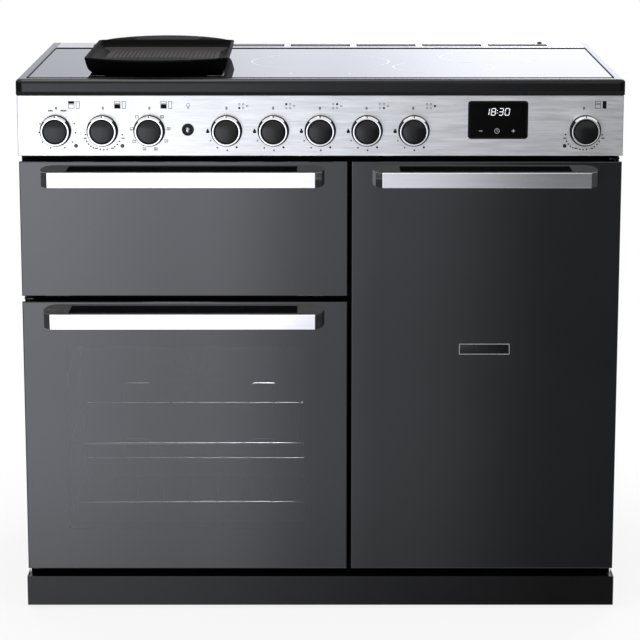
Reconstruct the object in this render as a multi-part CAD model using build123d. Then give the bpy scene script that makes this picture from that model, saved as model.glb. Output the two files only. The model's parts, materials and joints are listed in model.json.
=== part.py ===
"""Induction range cooker with a drop-down grill door, a windowed oven door and a tall oven door.

Millimetres, +Z up, front towards -Y. The origin is on the floor, at the middle of the
cooker's width and of its depth from the handles to the rear edge of the hob.
"""
import os

from build123d import *

# Overall sizes
hob_width = 1000.0
hob_depth = 597.0
lip_overhang = 12.0
handle_reach = 45.0

# Heights up the front, from the floor
plinth_bottom = 6.0
plinth_height = 51.0
plinth_gap = 14.0
main_door_height = 463.6
door_gap_height = 9.7
grill_door_height = 226.2
fascia_gap = 10.0
fascia_height = 100.2
lip_gap = 0.8
lip_height = 26.5

# Doors, across the front
side_inset = 2.5
tall_door_width = 445.9
door_gap_width = 6.4
door_thickness = 40.0
door_seal_gap = 3.0
door_glass_thickness = 5.0
door_edge_radius = 1.5
door_liner_inset = 6.0
door_liner_wall = 1.5
window_side = 73.0
window_above = 77.0
window_below = 71.5
window_ledge = 10.0
inner_glass_thickness = 4.0
inner_glass_clearance = 1.0

# Door hinges
hinge_pin_radius = 4.0
hinge_pin_clearance = 0.05
hinge_pin_depth = 14.0
hinge_edge = 12.0
hinge_setback = 22.0
hinge_block_width = 18.0
hinge_block_height = 20.0
hinge_plate = 2.5
hinge_plate_gap = 1.6
hinge_plate_half_width = 10.0
hinge_plate_radius = 6.0
hinge_pin_end_gap = 2.0
drop_hinge_rise = 16.0
drop_hinge_setback = 12.0
drop_hinge_from_edge = 60.0
drop_lug_thickness = 5.0
drop_lug_radius = 6.0
drop_lug_clearance = 1.0
drop_pin_reach = 12.0
drop_block_half_width = 16.0

# Door handles
handle_height = 25.0
handle_bar = 14.0
handle_leg = 45.0
handle_chamfer = 11.0
handle_chamfer_depth = 14.0
handle_flare = 4.5
handle_edge_radius = 0.8
handle_from_door_side = 36.5
handle_shift = -2.0
top_handle_drop = 12.3
main_handle_drop = 13.0

# How far a cut runs past the face that it opens
past = 1.0

# Carcass
sheet = 1.2
frame_sheet = 1.5
frame_top_gap = 7.0
base_height = 44.0
base_sheet = 1.5
base_flange = 30.0
side_foot_gap = 20.0
rear_inset = 15.0
plinth_tab_width = 30.0
plinth_tab_height = 16.0
plinth_edge_radius = 0.8
foot_pad_radius = 20.0
foot_pad_height = 10.0
foot_stud_radius = 6.0
foot_stud_clearance = 0.05
foot_stud_reach = 25.0
foot_from_side = 70.0
foot_from_frame = 50.0
foot_edge_radius = 2.0
roller_radius = 20.0
roller_width = 24.0
roller_from_side = 70.0
roller_from_rear = 45.0
roller_axle_radius = 4.0
roller_axle_clearance = 0.05
roller_side_gap = 1.0
roller_lug = 3.0
roller_lug_half_length = 14.0
roller_lug_drop = 30.0
roller_edge_radius = 2.0
terminal_width = 120.0
terminal_height = 90.0
terminal_depth = 12.0
terminal_from_side = 160.0
terminal_bottom = 130.0
terminal_edge_radius = 3.0
cable_hole_radius = 9.0

# Hob
lip_depth = 21.5
hob_side_bar = 18.0
hob_corner_radius = 14.0
hob_edge_radius = 7.0
hob_ledge = 8.0
hob_ledge_thickness = 5.0
glass_thickness = 4.0
glass_clearance = 0.3
glass_chamfer = 0.6
vent_deck_depth = 101.0
vent_slot_count = 7
vent_slot_length = 109.0
vent_slot_width = 42.0
vent_slot_pitch = 121.0
vent_slot_radius = 3.0
vent_slot_shift = 3.0
vent_deck_edge_radius = 2.0
tray_inset = 12.0
tray_depth = 22.0
tray_flange_gap = 2.0
coil_height = 12.0
coil_eye_radius = 16.0
coil_gap = 8.0
bridge_coil_width = 205.0
bridge_coil_radius = 60.0
bridge_coil_x = -272.0
centre_coil_radius = 110.0
centre_coil_y = -9.0
right_rear_coil_radius = 90.0
right_rear_coil_x = 302.0
right_rear_coil_y = 57.0
right_front_coil_radius = 85.0
right_front_coil_x = 205.0
right_front_coil_y = -104.0
module_width = 380.0
module_depth = 260.0
module_height = 38.0
module_fin_height = 14.0
module_fin = 3.0
module_fin_count = 16
hob_fan_x = 330.0
hob_fan_y = 40.0
hob_fan_radius = 45.0
hob_fan_hub_radius = 14.0
hob_fan_height = 18.0
hob_fan_gap = 3.0
hob_fan_blade_count = 7
hob_fan_blade_width = 18.0
hob_fan_blade_thickness = 1.6
hob_fan_blade_pitch = 35.0
hob_fan_blade_root = 2.0
hob_motor_radius = 20.0
hob_motor_height = 24.0
hob_motor_end = 4.0
hob_shaft_end_gap = 2.0

# Fascia and controls
fascia_inset = 2.0
fascia_proud = 3.0
fascia_sheet = 1.5
fascia_edge_radius = 1.0
knob_radius = 24.8
knob_front_radius = 23.2
knob_length = 12.0
knob_edge_radius = 0.8
knob_cap_radius = 20.3
knob_cap_recess = 0.6
knob_bezel_radius = 26.0
knob_bezel_thickness = 3.0
knob_gap = 0.5
knob_shaft_radius = 3.0
knob_shaft_clearance = 0.05
knob_shaft_hole_radius = 5.0
bezel_edge_radius = 1.0
left_knob_gaps = 7
knob_from_side = 64.4
knob_rise = 41.5
switch_size = 34.0
switch_depth = 24.0
switch_engagement = 20.0
button_space = 50.0
button_radius = 5.0
button_dome_radius = 2.5
button_length = 5.0
button_travel = 3.0
button_rise = 43.5
button_bezel_radius = 10.0
button_clearance = 0.3
button_stem_radius = 3.0
button_end_gap = 0.5
display_width = 98.2
display_height = 62.5
display_radius = 5.0
display_proud = 1.0
display_chamfer = 0.4
display_drop = 9.5
display_from_right = 208.1
display_left_margin = 89.0
display_clearance = 0.3
timer_border = 8.0
timer_depth = 22.0

# Oven cavities, measured from the edges of the door in front of each
cavity_side = 57.0
main_cavity_below = 34.0
main_cavity_above = 34.5
grill_cavity_below = 31.0
grill_cavity_above = 25.5
tall_cavity_side = 49.0
tall_cavity_below = 34.0
tall_cavity_above = 30.5
rear_space = 100.0
liner_wall = 1.0
insulation = 16.0
motor_hole_radius = 40.0
motor_radius = 35.0
motor_length = 55.0
motor_shaft_radius = 4.0
motor_shaft_clearance = 0.05
motor_shaft_hole_radius = 6.0
motor_engagement = 22.0
oven_fan_radius = 65.0
oven_fan_thickness = 26.0
oven_fan_hub_radius = 13.0
oven_fan_rear_gap = 8.0
fan_blade_count = 12
fan_blade_inner = 36.0
fan_blade_tip_gap = 1.0
fan_blade_thickness = 1.5
fan_disc_thickness = 1.5
ring_element_radius = 92.0
ring_element_rod = 4.0
ring_element_gap = 20.0
ring_element_foot_radius = 3.2
baffle_half_width = 140.0
baffle_half_height = 130.0
baffle_depth = 48.0
baffle_edge_radius = 4.0
baffle_slot_count = 10
baffle_slot_width = 8.0
baffle_inlet_inner = 18.0
baffle_inlet_outer = 56.0
baffle_outlet_length = 120.0
baffle_outlet_width = 12.0
baffle_outlet_inset = 14.0
ladder_rail_reach = 12.0
ladder_rail_thickness = 4.0
ladder_strip = 10.0
ladder_strip_thickness = 3.0
ladder_front_gap = 24.0
ladder_rear_gap = 66.0
main_shelf_heights = (54.0, 159.0, 264.0)
tall_shelf_heights = (90.0, 180.0, 270.0, 360.0, 450.0, 540.0)
main_shelves_on = (0, 1)
tall_shelves_on = (2, 4)
shelf_thickness = 5.0
shelf_side_gap = 4.0
shelf_rest_gap = 0.3
shelf_front_gap = 45.0
shelf_rear_gap = 75.0
shelf_border = 6.0
shelf_bar = 3.0
shelf_slot_count = 9
grill_rail_height = 66.0
grill_pan_depth = 34.0
grill_pan_sheet = 1.5
grill_pan_rim_thickness = 3.0
grill_pan_side_gap = 4.0
grill_pan_wall_gap = 3.0
grill_rod_radius = 4.0
grill_rod_pitch = 44.0
grill_rod_count = 8
grill_rod_drop = 22.0
grill_rod_front_gap = 60.0

# Griddle pan, resting on the left zones of the glass
griddle_x = -273.0
griddle_y = -52.0
griddle_width = 240.0
griddle_length = 308.0
griddle_height = 27.0
griddle_knee_height = 9.0
griddle_knee_inset = 4.0
griddle_base_inset = 11.0
griddle_floor_inset = 26.0
griddle_wall = 4.0
griddle_base_thickness = 9.2
griddle_lip_reach = 60.0
griddle_lip_rise = 2.0
griddle_lip_thickness = 6.0
griddle_rib_count = 25
griddle_rib_height = 2.5
griddle_rib_width = 3.0
griddle_rest_gap = 0.3
griddle_corner_radius = 12.0
griddle_rib_margin = 7.0
griddle_rib_root = 0.5

# Places along the depth
total_depth = handle_reach - lip_overhang + hob_depth
y_handle = -total_depth / 2
y_door = y_handle + handle_reach
y_lip = y_door - lip_overhang
y_rear = y_lip + hob_depth
y_fascia = y_door - fascia_proud
y_glass_back = y_door + door_glass_thickness
y_door_back = y_door + door_thickness
y_frame = y_door_back + door_seal_gap
y_frame_back = y_frame + frame_sheet
y_back_panel = y_rear - rear_inset
y_liner_back = y_back_panel - rear_space

# Places across the width
x_hob = hob_width / 2
x_door = x_hob - side_inset
x_tall_left = x_door - tall_door_width
x_left_right = x_tall_left - door_gap_width
x_side_inner = x_door - sheet

# Places up the height
z_plinth_top = plinth_bottom + plinth_height
z_door_bottom = z_plinth_top + plinth_gap
z_main_top = z_door_bottom + main_door_height
z_grill_bottom = z_main_top + door_gap_height
z_door_top = z_grill_bottom + grill_door_height
z_fascia = z_door_top + fascia_gap
z_fascia_top = z_fascia + fascia_height
z_lip = z_fascia_top + lip_gap
z_hob = z_lip + lip_height
z_glass = z_hob - glass_thickness
z_ledge = z_glass - hob_ledge_thickness
z_tray = z_ledge - tray_depth

# Cavity mouths as (left, right, bottom, top)
main_mouth = (
    -x_door + cavity_side,
    x_left_right - cavity_side,
    z_door_bottom + main_cavity_below,
    z_main_top - main_cavity_above,
)
grill_mouth = (
    -x_door + cavity_side,
    x_left_right - cavity_side,
    z_grill_bottom + grill_cavity_below,
    z_door_top - grill_cavity_above,
)
tall_mouth = (
    x_tall_left + tall_cavity_side,
    x_door - tall_cavity_side,
    z_door_bottom + tall_cavity_below,
    z_door_top - tall_cavity_above,
)

# Row of knobs: three for the ovens, the lamp button, then five for the hob zones
x_display = x_hob - display_from_right
x_first_knob = -x_hob + knob_from_side
x_last_left_knob = x_display - display_width / 2 - display_left_margin
knob_pitch = (x_last_left_knob - x_first_knob - button_space) / left_knob_gaps
z_knob = z_fascia + knob_rise
x_button = x_first_knob + 2 * knob_pitch + (knob_pitch + button_space) / 2
z_button = z_fascia + button_rise
knob_places = {
    "knob_grill": x_first_knob,
    "knob_main_oven_heat": x_first_knob + knob_pitch,
    "knob_main_oven_mode": x_first_knob + 2 * knob_pitch,
    "knob_hob_front_left": x_last_left_knob - 4 * knob_pitch,
    "knob_hob_rear_left": x_last_left_knob - 3 * knob_pitch,
    "knob_hob_centre": x_last_left_knob - 2 * knob_pitch,
    "knob_hob_front_right": x_last_left_knob - knob_pitch,
    "knob_hob_rear_right": x_last_left_knob,
    "knob_tall_oven_heat": x_hob - knob_from_side,
}
y_bezel = y_fascia - knob_bezel_thickness
y_fascia_back = y_fascia + fascia_sheet
y_switch_back = y_fascia_back + switch_depth


def block(x0, x1, y0, y1, z0, z1):
    """A box between two corners."""
    middle = Pos((x0 + x1) / 2, (y0 + y1) / 2, (z0 + z1) / 2)
    return middle * Box(x1 - x0, y1 - y0, z1 - z0)


def rod_x(y, z, x0, x1, radius):
    """A round rod along X."""
    return Pos((x0 + x1) / 2, y, z) * Rot(0, 90, 0) * Cylinder(radius, x1 - x0)


def rod_y(x, z, y0, y1, radius):
    """A round rod along Y."""
    return Pos(x, (y0 + y1) / 2, z) * Rot(90, 0, 0) * Cylinder(radius, y1 - y0)


def rod_z(x, y, z0, z1, radius):
    """A round rod along Z."""
    return Pos(x, y, (z0 + z1) / 2) * Cylinder(radius, z1 - z0)


def save(name, *solids):
    """Write one named node, made of one or more separate solids."""
    shapes = [solid for shape in solids for solid in shape.solids()]
    export_step(Compound(children=shapes), os.path.join("parts", name + ".step"))


def carcass():
    """Base tray on its rollers, side and rear panels, front frame and plinth."""
    z_floor = base_height + base_sheet
    base = block(-x_side_inner, x_side_inner, y_frame_back, y_back_panel, base_height, z_floor + base_flange)
    base -= block(
        -x_side_inner + sheet, x_side_inner - sheet,
        y_frame_back - past, y_back_panel - sheet,
        z_floor, z_floor + base_flange + past,
    )
    y_roller = y_back_panel - roller_from_rear
    half_gap = roller_width / 2 + roller_side_gap
    for side in (-1, 1):
        x_roller = side * (x_side_inner - roller_from_side)
        for lug in (-1, 1):
            inner = x_roller + lug * half_gap
            outer = inner + lug * roller_lug
            base += block(
                min(inner, outer), max(inner, outer),
                y_roller - roller_lug_half_length, y_roller + roller_lug_half_length,
                base_height - roller_lug_drop, base_height,
            )
        base += rod_x(
            y_roller, roller_radius,
            x_roller - half_gap - roller_lug, x_roller + half_gap + roller_lug,
            roller_axle_radius,
        )
        roller = rod_x(
            y_roller, roller_radius,
            x_roller - roller_width / 2, x_roller + roller_width / 2,
            roller_radius,
        )
        roller = fillet(roller.edges(), roller_edge_radius)
        roller -= rod_x(
            y_roller, roller_radius,
            x_roller - roller_width, x_roller + roller_width,
            roller_axle_radius + roller_axle_clearance,
        )
        save("rear_roller_" + ("left" if side < 0 else "right"), roller)
        x_foot = side * (x_side_inner - foot_from_side)
        y_foot = y_frame_back + foot_from_frame
        foot = rod_z(x_foot, y_foot, 0, foot_pad_height, foot_pad_radius)
        foot = fillet(foot.edges().group_by(Axis.Z)[-1], foot_edge_radius)
        foot += rod_z(x_foot, y_foot, foot_pad_height, z_floor + foot_stud_reach, foot_stud_radius)
        bore = foot_stud_radius + foot_stud_clearance
        base -= rod_z(x_foot, y_foot, base_height - past, z_floor + past, bore)
        save("front_foot_" + ("left" if side < 0 else "right"), foot)
    save("base_tray", base)

    left = block(-x_door, -x_side_inner, y_frame, y_back_panel, side_foot_gap, z_lip)
    right = block(x_side_inner, x_door, y_frame, y_back_panel, side_foot_gap, z_lip)
    save("side_panel_left", left)
    save("side_panel_right", right)

    x_terminal = x_door - terminal_from_side
    rear = block(-x_door, x_door, y_back_panel, y_back_panel + sheet, side_foot_gap, z_lip)
    z_cable = terminal_bottom + terminal_height / 2
    rear -= rod_y(x_terminal, z_cable, y_back_panel - past, y_back_panel + sheet + past, cable_hole_radius)
    save("rear_panel", rear)

    y_cover = y_back_panel + sheet
    cover = block(
        x_terminal - terminal_width / 2, x_terminal + terminal_width / 2,
        y_cover, y_cover + terminal_depth,
        terminal_bottom, terminal_bottom + terminal_height,
    )
    cover = fillet(cover.faces().sort_by(Axis.Y)[-1].edges(), terminal_edge_radius)
    cover -= block(
        x_terminal - terminal_width / 2 + sheet, x_terminal + terminal_width / 2 - sheet,
        y_cover - past, y_cover + terminal_depth - sheet,
        terminal_bottom + sheet, terminal_bottom + terminal_height - sheet,
    )
    y_entry = y_cover + terminal_depth / 2
    entry = Box(cable_hole_radius, terminal_depth / 2, 2 * (sheet + past))
    cover -= Pos(x_terminal, y_entry, terminal_bottom) * entry
    save("terminal_cover", cover)

    frame = block(-x_side_inner, x_side_inner, y_frame, y_frame_back, base_height, z_tray - frame_top_gap)
    for x0, x1, z0, z1 in (main_mouth, grill_mouth, tall_mouth):
        frame -= block(x0, x1, y_frame - past, y_frame_back + past, z0, z1)
    save("front_frame", frame)

    plinth = block(-x_hob, x_hob, y_door, y_door + sheet, plinth_bottom, z_plinth_top)
    plinth = fillet(plinth.edges().filter_by(Axis.Z).group_by(Axis.Y)[0], plinth_edge_radius)
    for x in (-x_hob + sheet, 0, x_hob - sheet):
        x0 = max(x - plinth_tab_width / 2, -x_side_inner)
        x1 = min(x + plinth_tab_width / 2, x_side_inner)
        z1 = min(base_height + plinth_tab_height, z_plinth_top)
        plinth += block(x0, x1, y_door + sheet, y_frame, base_height, z1)
    for x0, x1 in ((-x_hob, -x_hob + sheet), (x_hob - sheet, x_hob)):
        plinth += block(x0, x1, y_door + sheet, y_frame, plinth_bottom, z_plinth_top)
    save("plinth", plinth)


def griddle_outline(inset, z):
    """The griddle's plan outline at one height, drawn in from its rim."""
    return Pos(griddle_x, griddle_y, z) * RectangleRounded(
        griddle_width - 2 * inset, griddle_length - 2 * inset, griddle_corner_radius
    )


def hob():
    """Hob frame, ceramic glass, rear vent deck, coil tray, coils and power module."""
    x_bar = x_hob - hob_side_bar
    y_glass_front = y_lip + lip_depth
    y_deck = y_rear - vent_deck_depth
    x_ledge = x_bar - hob_ledge
    frame = block(-x_hob, x_hob, y_lip, y_rear, z_lip, z_hob)
    front_corners = frame.edges().filter_by(Axis.Z).group_by(Axis.Y)[0]
    frame = fillet(front_corners, hob_corner_radius)
    top_edges = frame.faces().sort_by(Axis.Z)[-1].edges()
    rear_edge = top_edges.sort_by(Axis.Y)[-1]
    y_last = rear_edge.center().Y - past
    frame = fillet([edge for edge in top_edges if edge.center().Y < y_last], hob_edge_radius)
    frame -= block(-x_bar, x_bar, y_glass_front, y_rear + past, z_glass, z_hob + past)
    frame -= block(-x_bar, x_bar, y_glass_front, y_rear - sheet, z_lip - past, z_ledge)
    frame -= block(-x_ledge, x_ledge, y_glass_front + hob_ledge, y_deck - hob_ledge, z_lip, z_hob)
    frame -= block(-x_ledge, x_ledge, y_deck + hob_ledge, y_rear - sheet, z_lip, z_hob)
    save("hob_frame", frame)

    edge = glass_clearance
    glass = block(-x_bar + edge, x_bar - edge, y_glass_front + edge, y_deck - edge, z_glass, z_hob)
    glass = chamfer(glass.faces().sort_by(Axis.Z)[-1].edges(), glass_chamfer)
    save("hob_glass", glass)

    deck = block(-x_bar + edge, x_bar - edge, y_deck + edge, y_rear, z_glass, z_hob)
    rear_edges = deck.edges().filter_by(Axis.X).group_by(Axis.Y)[-1]
    deck = fillet(rear_edges.sort_by(Axis.Z)[-1:], vent_deck_edge_radius)
    y_slot = (y_deck + y_rear) / 2 + vent_slot_shift
    for number in range(vent_slot_count):
        x_slot = (number - (vent_slot_count - 1) / 2) * vent_slot_pitch
        slot = RectangleRounded(vent_slot_length, vent_slot_width, vent_slot_radius)
        deck -= Pos(x_slot, y_slot, z_glass - past) * extrude(slot, glass_thickness + 2 * past)
    save("rear_vent_deck", deck)

    tray_x = x_ledge - tray_inset
    tray_front = y_frame_back + tray_flange_gap
    tray_rear = y_deck - hob_ledge - tray_inset
    tray = block(-tray_x, tray_x, tray_front, tray_rear, z_tray, z_ledge)
    tray -= block(
        -tray_x + sheet, tray_x - sheet,
        tray_front + sheet, tray_rear - sheet,
        z_tray + sheet, z_ledge + past,
    )
    flange = block(
        -x_bar + tray_flange_gap, x_bar - tray_flange_gap,
        y_glass_front + tray_flange_gap, y_deck - tray_flange_gap,
        z_ledge - sheet, z_ledge,
    )
    flange -= block(-tray_x, tray_x, tray_front, tray_rear, z_ledge - 2 * sheet, z_ledge + past)
    save("coil_tray", tray + flange)

    z_coil = z_tray + sheet
    coil_room = tray_rear - tray_front - 2 * sheet - 3 * coil_gap
    bridge_length = coil_room / 2
    coils = []
    for number in range(2):
        y_coil = tray_front + sheet + coil_gap + bridge_length / 2 + number * (bridge_length + coil_gap)
        shape = RectangleRounded(bridge_coil_width, bridge_length, bridge_coil_radius)
        eye = rod_z(bridge_coil_x, y_coil, z_coil - past, z_coil + coil_height + past, coil_eye_radius)
        coils.append(Pos(bridge_coil_x, y_coil, z_coil) * extrude(shape, coil_height) - eye)
    round_coils = (
        (0, centre_coil_y, centre_coil_radius),
        (right_rear_coil_x, right_rear_coil_y, right_rear_coil_radius),
        (right_front_coil_x, right_front_coil_y, right_front_coil_radius),
    )
    for x, y, radius in round_coils:
        coil = rod_z(x, y, z_coil, z_coil + coil_height, radius)
        coils.append(coil - rod_z(x, y, z_coil - past, z_coil + coil_height + past, coil_eye_radius))
    save("induction_coils", *coils)

    half_width = module_width / 2
    half_depth = module_depth / 2
    z_fins = z_tray - module_height
    module = block(-half_width, half_width, -half_depth, half_depth, z_fins, z_tray)
    fin_pitch = module_width / module_fin_count
    for number in range(module_fin_count):
        x_fin = (number - (module_fin_count - 1) / 2) * fin_pitch
        module += block(
            x_fin - module_fin / 2, x_fin + module_fin / 2,
            -half_depth, half_depth,
            z_fins - module_fin_height, z_fins,
        )
    save("power_module", module)


def griddle():
    """Cast griddle with walls that round into its base, a ribbed floor and bowed end lips."""
    z_base = z_hob + griddle_rest_gap
    z_rim = z_hob + griddle_height
    outside = loft([
        griddle_outline(griddle_base_inset, z_base),
        griddle_outline(griddle_knee_inset, z_base + griddle_knee_height),
        griddle_outline(0, z_rim),
    ], ruled=True)
    z_inside = z_base + griddle_base_thickness
    inside = loft([griddle_outline(griddle_floor_inset, z_inside), griddle_outline(griddle_wall, z_rim)])
    pan = outside - inside
    half = griddle_width / 2 - griddle_corner_radius
    for end in (-1, 1):
        y_end = griddle_y + end * (griddle_length / 2 - griddle_wall)
        y_tip = griddle_y + end * (griddle_length / 2 + griddle_lip_reach)
        left = (griddle_x - half, y_end)
        right = (griddle_x + half, y_end)
        lip = make_face([ThreePointArc(left, (griddle_x, y_tip), right), Line(right, left)])
        pan += Pos(0, 0, z_rim + griddle_lip_rise - griddle_lip_thickness) * extrude(lip, griddle_lip_thickness)
    pan -= inside
    room = griddle_width - 2 * griddle_floor_inset - 2 * griddle_rib_margin
    rib_half = griddle_length / 2 - griddle_floor_inset - griddle_rib_margin
    for number in range(griddle_rib_count):
        x_rib = griddle_x + (number / (griddle_rib_count - 1) - 0.5) * room
        pan += block(
            x_rib - griddle_rib_width / 2, x_rib + griddle_rib_width / 2,
            griddle_y - rib_half, griddle_y + rib_half,
            z_inside - griddle_rib_root, z_inside + griddle_rib_height,
        )
    save("griddle_pan", pan)


def knob(x):
    """Round knob with a recessed cap and its shaft, turned about its own axis."""
    y_base = y_bezel - knob_gap
    y_tip = y_base - knob_length
    shaft = rod_y(x, z_knob, y_base, y_fascia_back + switch_engagement, knob_shaft_radius)
    body = loft([
        Pos(x, y_base, z_knob) * Rot(90, 0, 0) * Circle(knob_radius),
        Pos(x, y_tip, z_knob) * Rot(90, 0, 0) * Circle(knob_front_radius),
    ])
    body = fillet(body.edges().group_by(Axis.Y)[0], knob_edge_radius)
    body -= rod_y(x, z_knob, y_tip - past, y_tip + knob_cap_recess, knob_cap_radius)
    return body + shaft


def controls():
    """Fascia with its knobs, bezels, switches, lamp button and clock."""
    x_end = x_hob - fascia_inset
    fascia = block(-x_end, x_end, y_fascia, y_frame, z_fascia, z_fascia_top)
    fascia = fillet(fascia.faces().sort_by(Axis.Y)[0].edges(), fascia_edge_radius)
    fascia -= block(
        -x_end + fascia_sheet, x_end - fascia_sheet,
        y_fascia_back, y_frame + past,
        z_fascia + fascia_sheet, z_fascia_top - fascia_sheet,
    )
    bezels = []
    switches = []
    for name, x in knob_places.items():
        fascia -= rod_y(x, z_knob, y_fascia - past, y_fascia_back + past, knob_shaft_hole_radius)
        bezel = rod_y(x, z_knob, y_bezel, y_fascia, knob_bezel_radius)
        bezel = fillet(bezel.edges().group_by(Axis.Y)[0], bezel_edge_radius)
        bezels.append(bezel - rod_y(x, z_knob, y_bezel - past, y_fascia + past, knob_shaft_hole_radius))
        half = switch_size / 2
        switch = block(x - half, x + half, y_fascia_back, y_switch_back, z_knob - half, z_knob + half)
        bore = knob_shaft_radius + knob_shaft_clearance
        switches.append(switch - rod_y(x, z_knob, y_fascia_back - past, y_switch_back + past, bore))
        save(name, knob(x))

    hole = button_radius + button_clearance
    fascia -= rod_y(x_button, z_button, y_fascia - past, y_fascia_back + past, hole)
    bezel = rod_y(x_button, z_button, y_bezel, y_fascia, button_bezel_radius)
    bezel = fillet(bezel.edges().group_by(Axis.Y)[0], bezel_edge_radius)
    bezels.append(bezel - rod_y(x_button, z_button, y_bezel - past, y_fascia + past, hole))
    half = button_bezel_radius
    switch = block(
        x_button - half, x_button + half,
        y_fascia_back, y_switch_back,
        z_button - half, z_button + half,
    )
    bore = button_stem_radius + knob_shaft_clearance
    switches.append(switch - rod_y(x_button, z_button, y_fascia_back - past, y_switch_back + past, bore))
    y_heel = y_fascia_back - button_travel - button_end_gap
    button = rod_y(x_button, z_button, y_heel - button_length, y_heel, button_radius)
    button = fillet(button.edges().group_by(Axis.Y)[0], button_dome_radius)
    y_stem = y_fascia_back + switch_engagement - button_travel
    button += rod_y(x_button, z_button, y_heel, y_stem, button_stem_radius)
    save("light_button", button)

    z_display = z_fascia_top - display_drop - display_height
    z_middle = z_display + display_height / 2
    upright = Pos(x_display, 0, z_middle) * Rot(90, 0, 0)
    face = upright * RectangleRounded(display_width, display_height, display_radius)
    grow = 2 * display_clearance
    cut = upright * RectangleRounded(
        display_width + grow, display_height + grow, display_radius + display_clearance
    )
    fascia -= Pos(0, y_fascia_back + past, 0) * extrude(cut, fascia_sheet + 2 * past)
    glass = Pos(0, y_fascia_back, 0) * extrude(face, fascia_sheet + display_proud)
    glass = chamfer(glass.faces().sort_by(Axis.Y)[0].edges(), display_chamfer)
    save("display_glass", glass)
    half_timer = display_width / 2 + timer_border
    z_timer_top = min(z_display + display_height + timer_border, z_fascia_top - fascia_sheet)
    timer = block(
        x_display - half_timer, x_display + half_timer,
        y_fascia_back, y_fascia_back + timer_depth,
        z_display - timer_border, z_timer_top,
    )
    save("timer_module", timer)
    save("fascia_panel", fascia)
    save("control_bezels", *bezels)
    save("control_switches", *switches)


def door_panel(x0, x1, z0, z1):
    """Flat glossy front sheet of a door, with softened front edges."""
    panel = block(x0, x1, y_door, y_glass_back, z0, z1)
    return fillet(panel.faces().sort_by(Axis.Y)[0].edges(), door_edge_radius)


def door_pan(x0, x1, z0, z1):
    """Pressed inner pan behind a door's front sheet, open towards that sheet."""
    inset = door_liner_inset
    wall = door_liner_wall
    pan = block(x0 + inset, x1 - inset, y_glass_back, y_door_back, z0 + inset, z1 - inset)
    pan -= block(
        x0 + inset + wall, x1 - inset - wall,
        y_glass_back - past, y_door_back - wall,
        z0 + inset + wall, z1 - inset - wall,
    )
    return pan


def side_hinged_pan(x0, x1, z0, z1, side):
    """Inner pan with a bored hinge block at the top and bottom of its hinge side."""
    pan = door_pan(x0, x1, z0, z1)
    x_edge = x0 if side < 0 else x1
    x_hinge = x_edge - side * hinge_edge
    y_hinge = y_door + hinge_setback
    outer = x_edge - side * door_liner_inset
    inner = outer - side * hinge_block_width
    bore = hinge_pin_radius + hinge_pin_clearance
    bottom = z0 + door_liner_inset
    top = z1 - door_liner_inset
    for low, high in ((bottom, bottom + hinge_block_height), (top - hinge_block_height, top)):
        pan += block(min(outer, inner), max(outer, inner), y_glass_back, y_door_back, low, high)
    pan -= rod_z(x_hinge, y_hinge, z0 - past, bottom + hinge_pin_depth, bore)
    pan -= rod_z(x_hinge, y_hinge, top - hinge_pin_depth, z1 + past, bore)
    return pan


def side_hinges(x0, x1, z0, z1, side):
    """Top and bottom hinge plates of a side-hinged door, each with its upright pin."""
    x_hinge = (x0 if side < 0 else x1) - side * hinge_edge
    y_hinge = y_door + hinge_setback
    x_low = x_hinge - hinge_plate_half_width
    x_high = x_hinge + hinge_plate_half_width
    y_nose = y_hinge - hinge_plate_half_width
    reach = door_liner_inset + hinge_pin_depth - hinge_pin_end_gap
    plates = []
    low = z0 - hinge_plate_gap - hinge_plate
    plate = block(x_low, x_high, y_nose, y_frame, low, low + hinge_plate)
    plate = fillet(plate.edges().filter_by(Axis.Z).group_by(Axis.Y)[0], hinge_plate_radius)
    plates.append(plate + rod_z(x_hinge, y_hinge, low + hinge_plate, z0 + reach, hinge_pin_radius))
    high = z1 + hinge_plate_gap
    plate = block(x_low, x_high, y_nose, y_frame, high, high + hinge_plate)
    plate = fillet(plate.edges().filter_by(Axis.Z).group_by(Axis.Y)[0], hinge_plate_radius)
    plates.append(plate + rod_z(x_hinge, y_hinge, z1 - reach, high, hinge_pin_radius))
    return plates


def handle(x0, x1, z_top):
    """Flat bar handle with bevelled ends and two legs back to the door face."""
    half_base = (x1 - x0) / 2 - handle_from_door_side
    half_shoulder = half_base - handle_flare
    half_front = half_shoulder - handle_chamfer
    y_shoulder = y_handle + handle_chamfer_depth
    corners = [
        (-half_base, y_door),
        (-half_shoulder, y_shoulder),
        (-half_front, y_handle),
        (half_front, y_handle),
        (half_shoulder, y_shoulder),
        (half_base, y_door),
    ]
    bar = extrude(make_face(Polyline(corners, close=True)), handle_height)
    bar = fillet(bar.edges().filter_by(Axis.Z), handle_edge_radius)
    half_grip = half_base - handle_leg
    bar -= block(-half_grip, half_grip, y_handle + handle_bar, y_door + past, -past, handle_height + past)
    front_edges = bar.faces().sort_by(Axis.Y)[0].edges().filter_by(Axis.X)
    bar = fillet(front_edges, handle_edge_radius)
    return Pos((x0 + x1) / 2 + handle_shift, 0, z_top - handle_height) * bar


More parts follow.
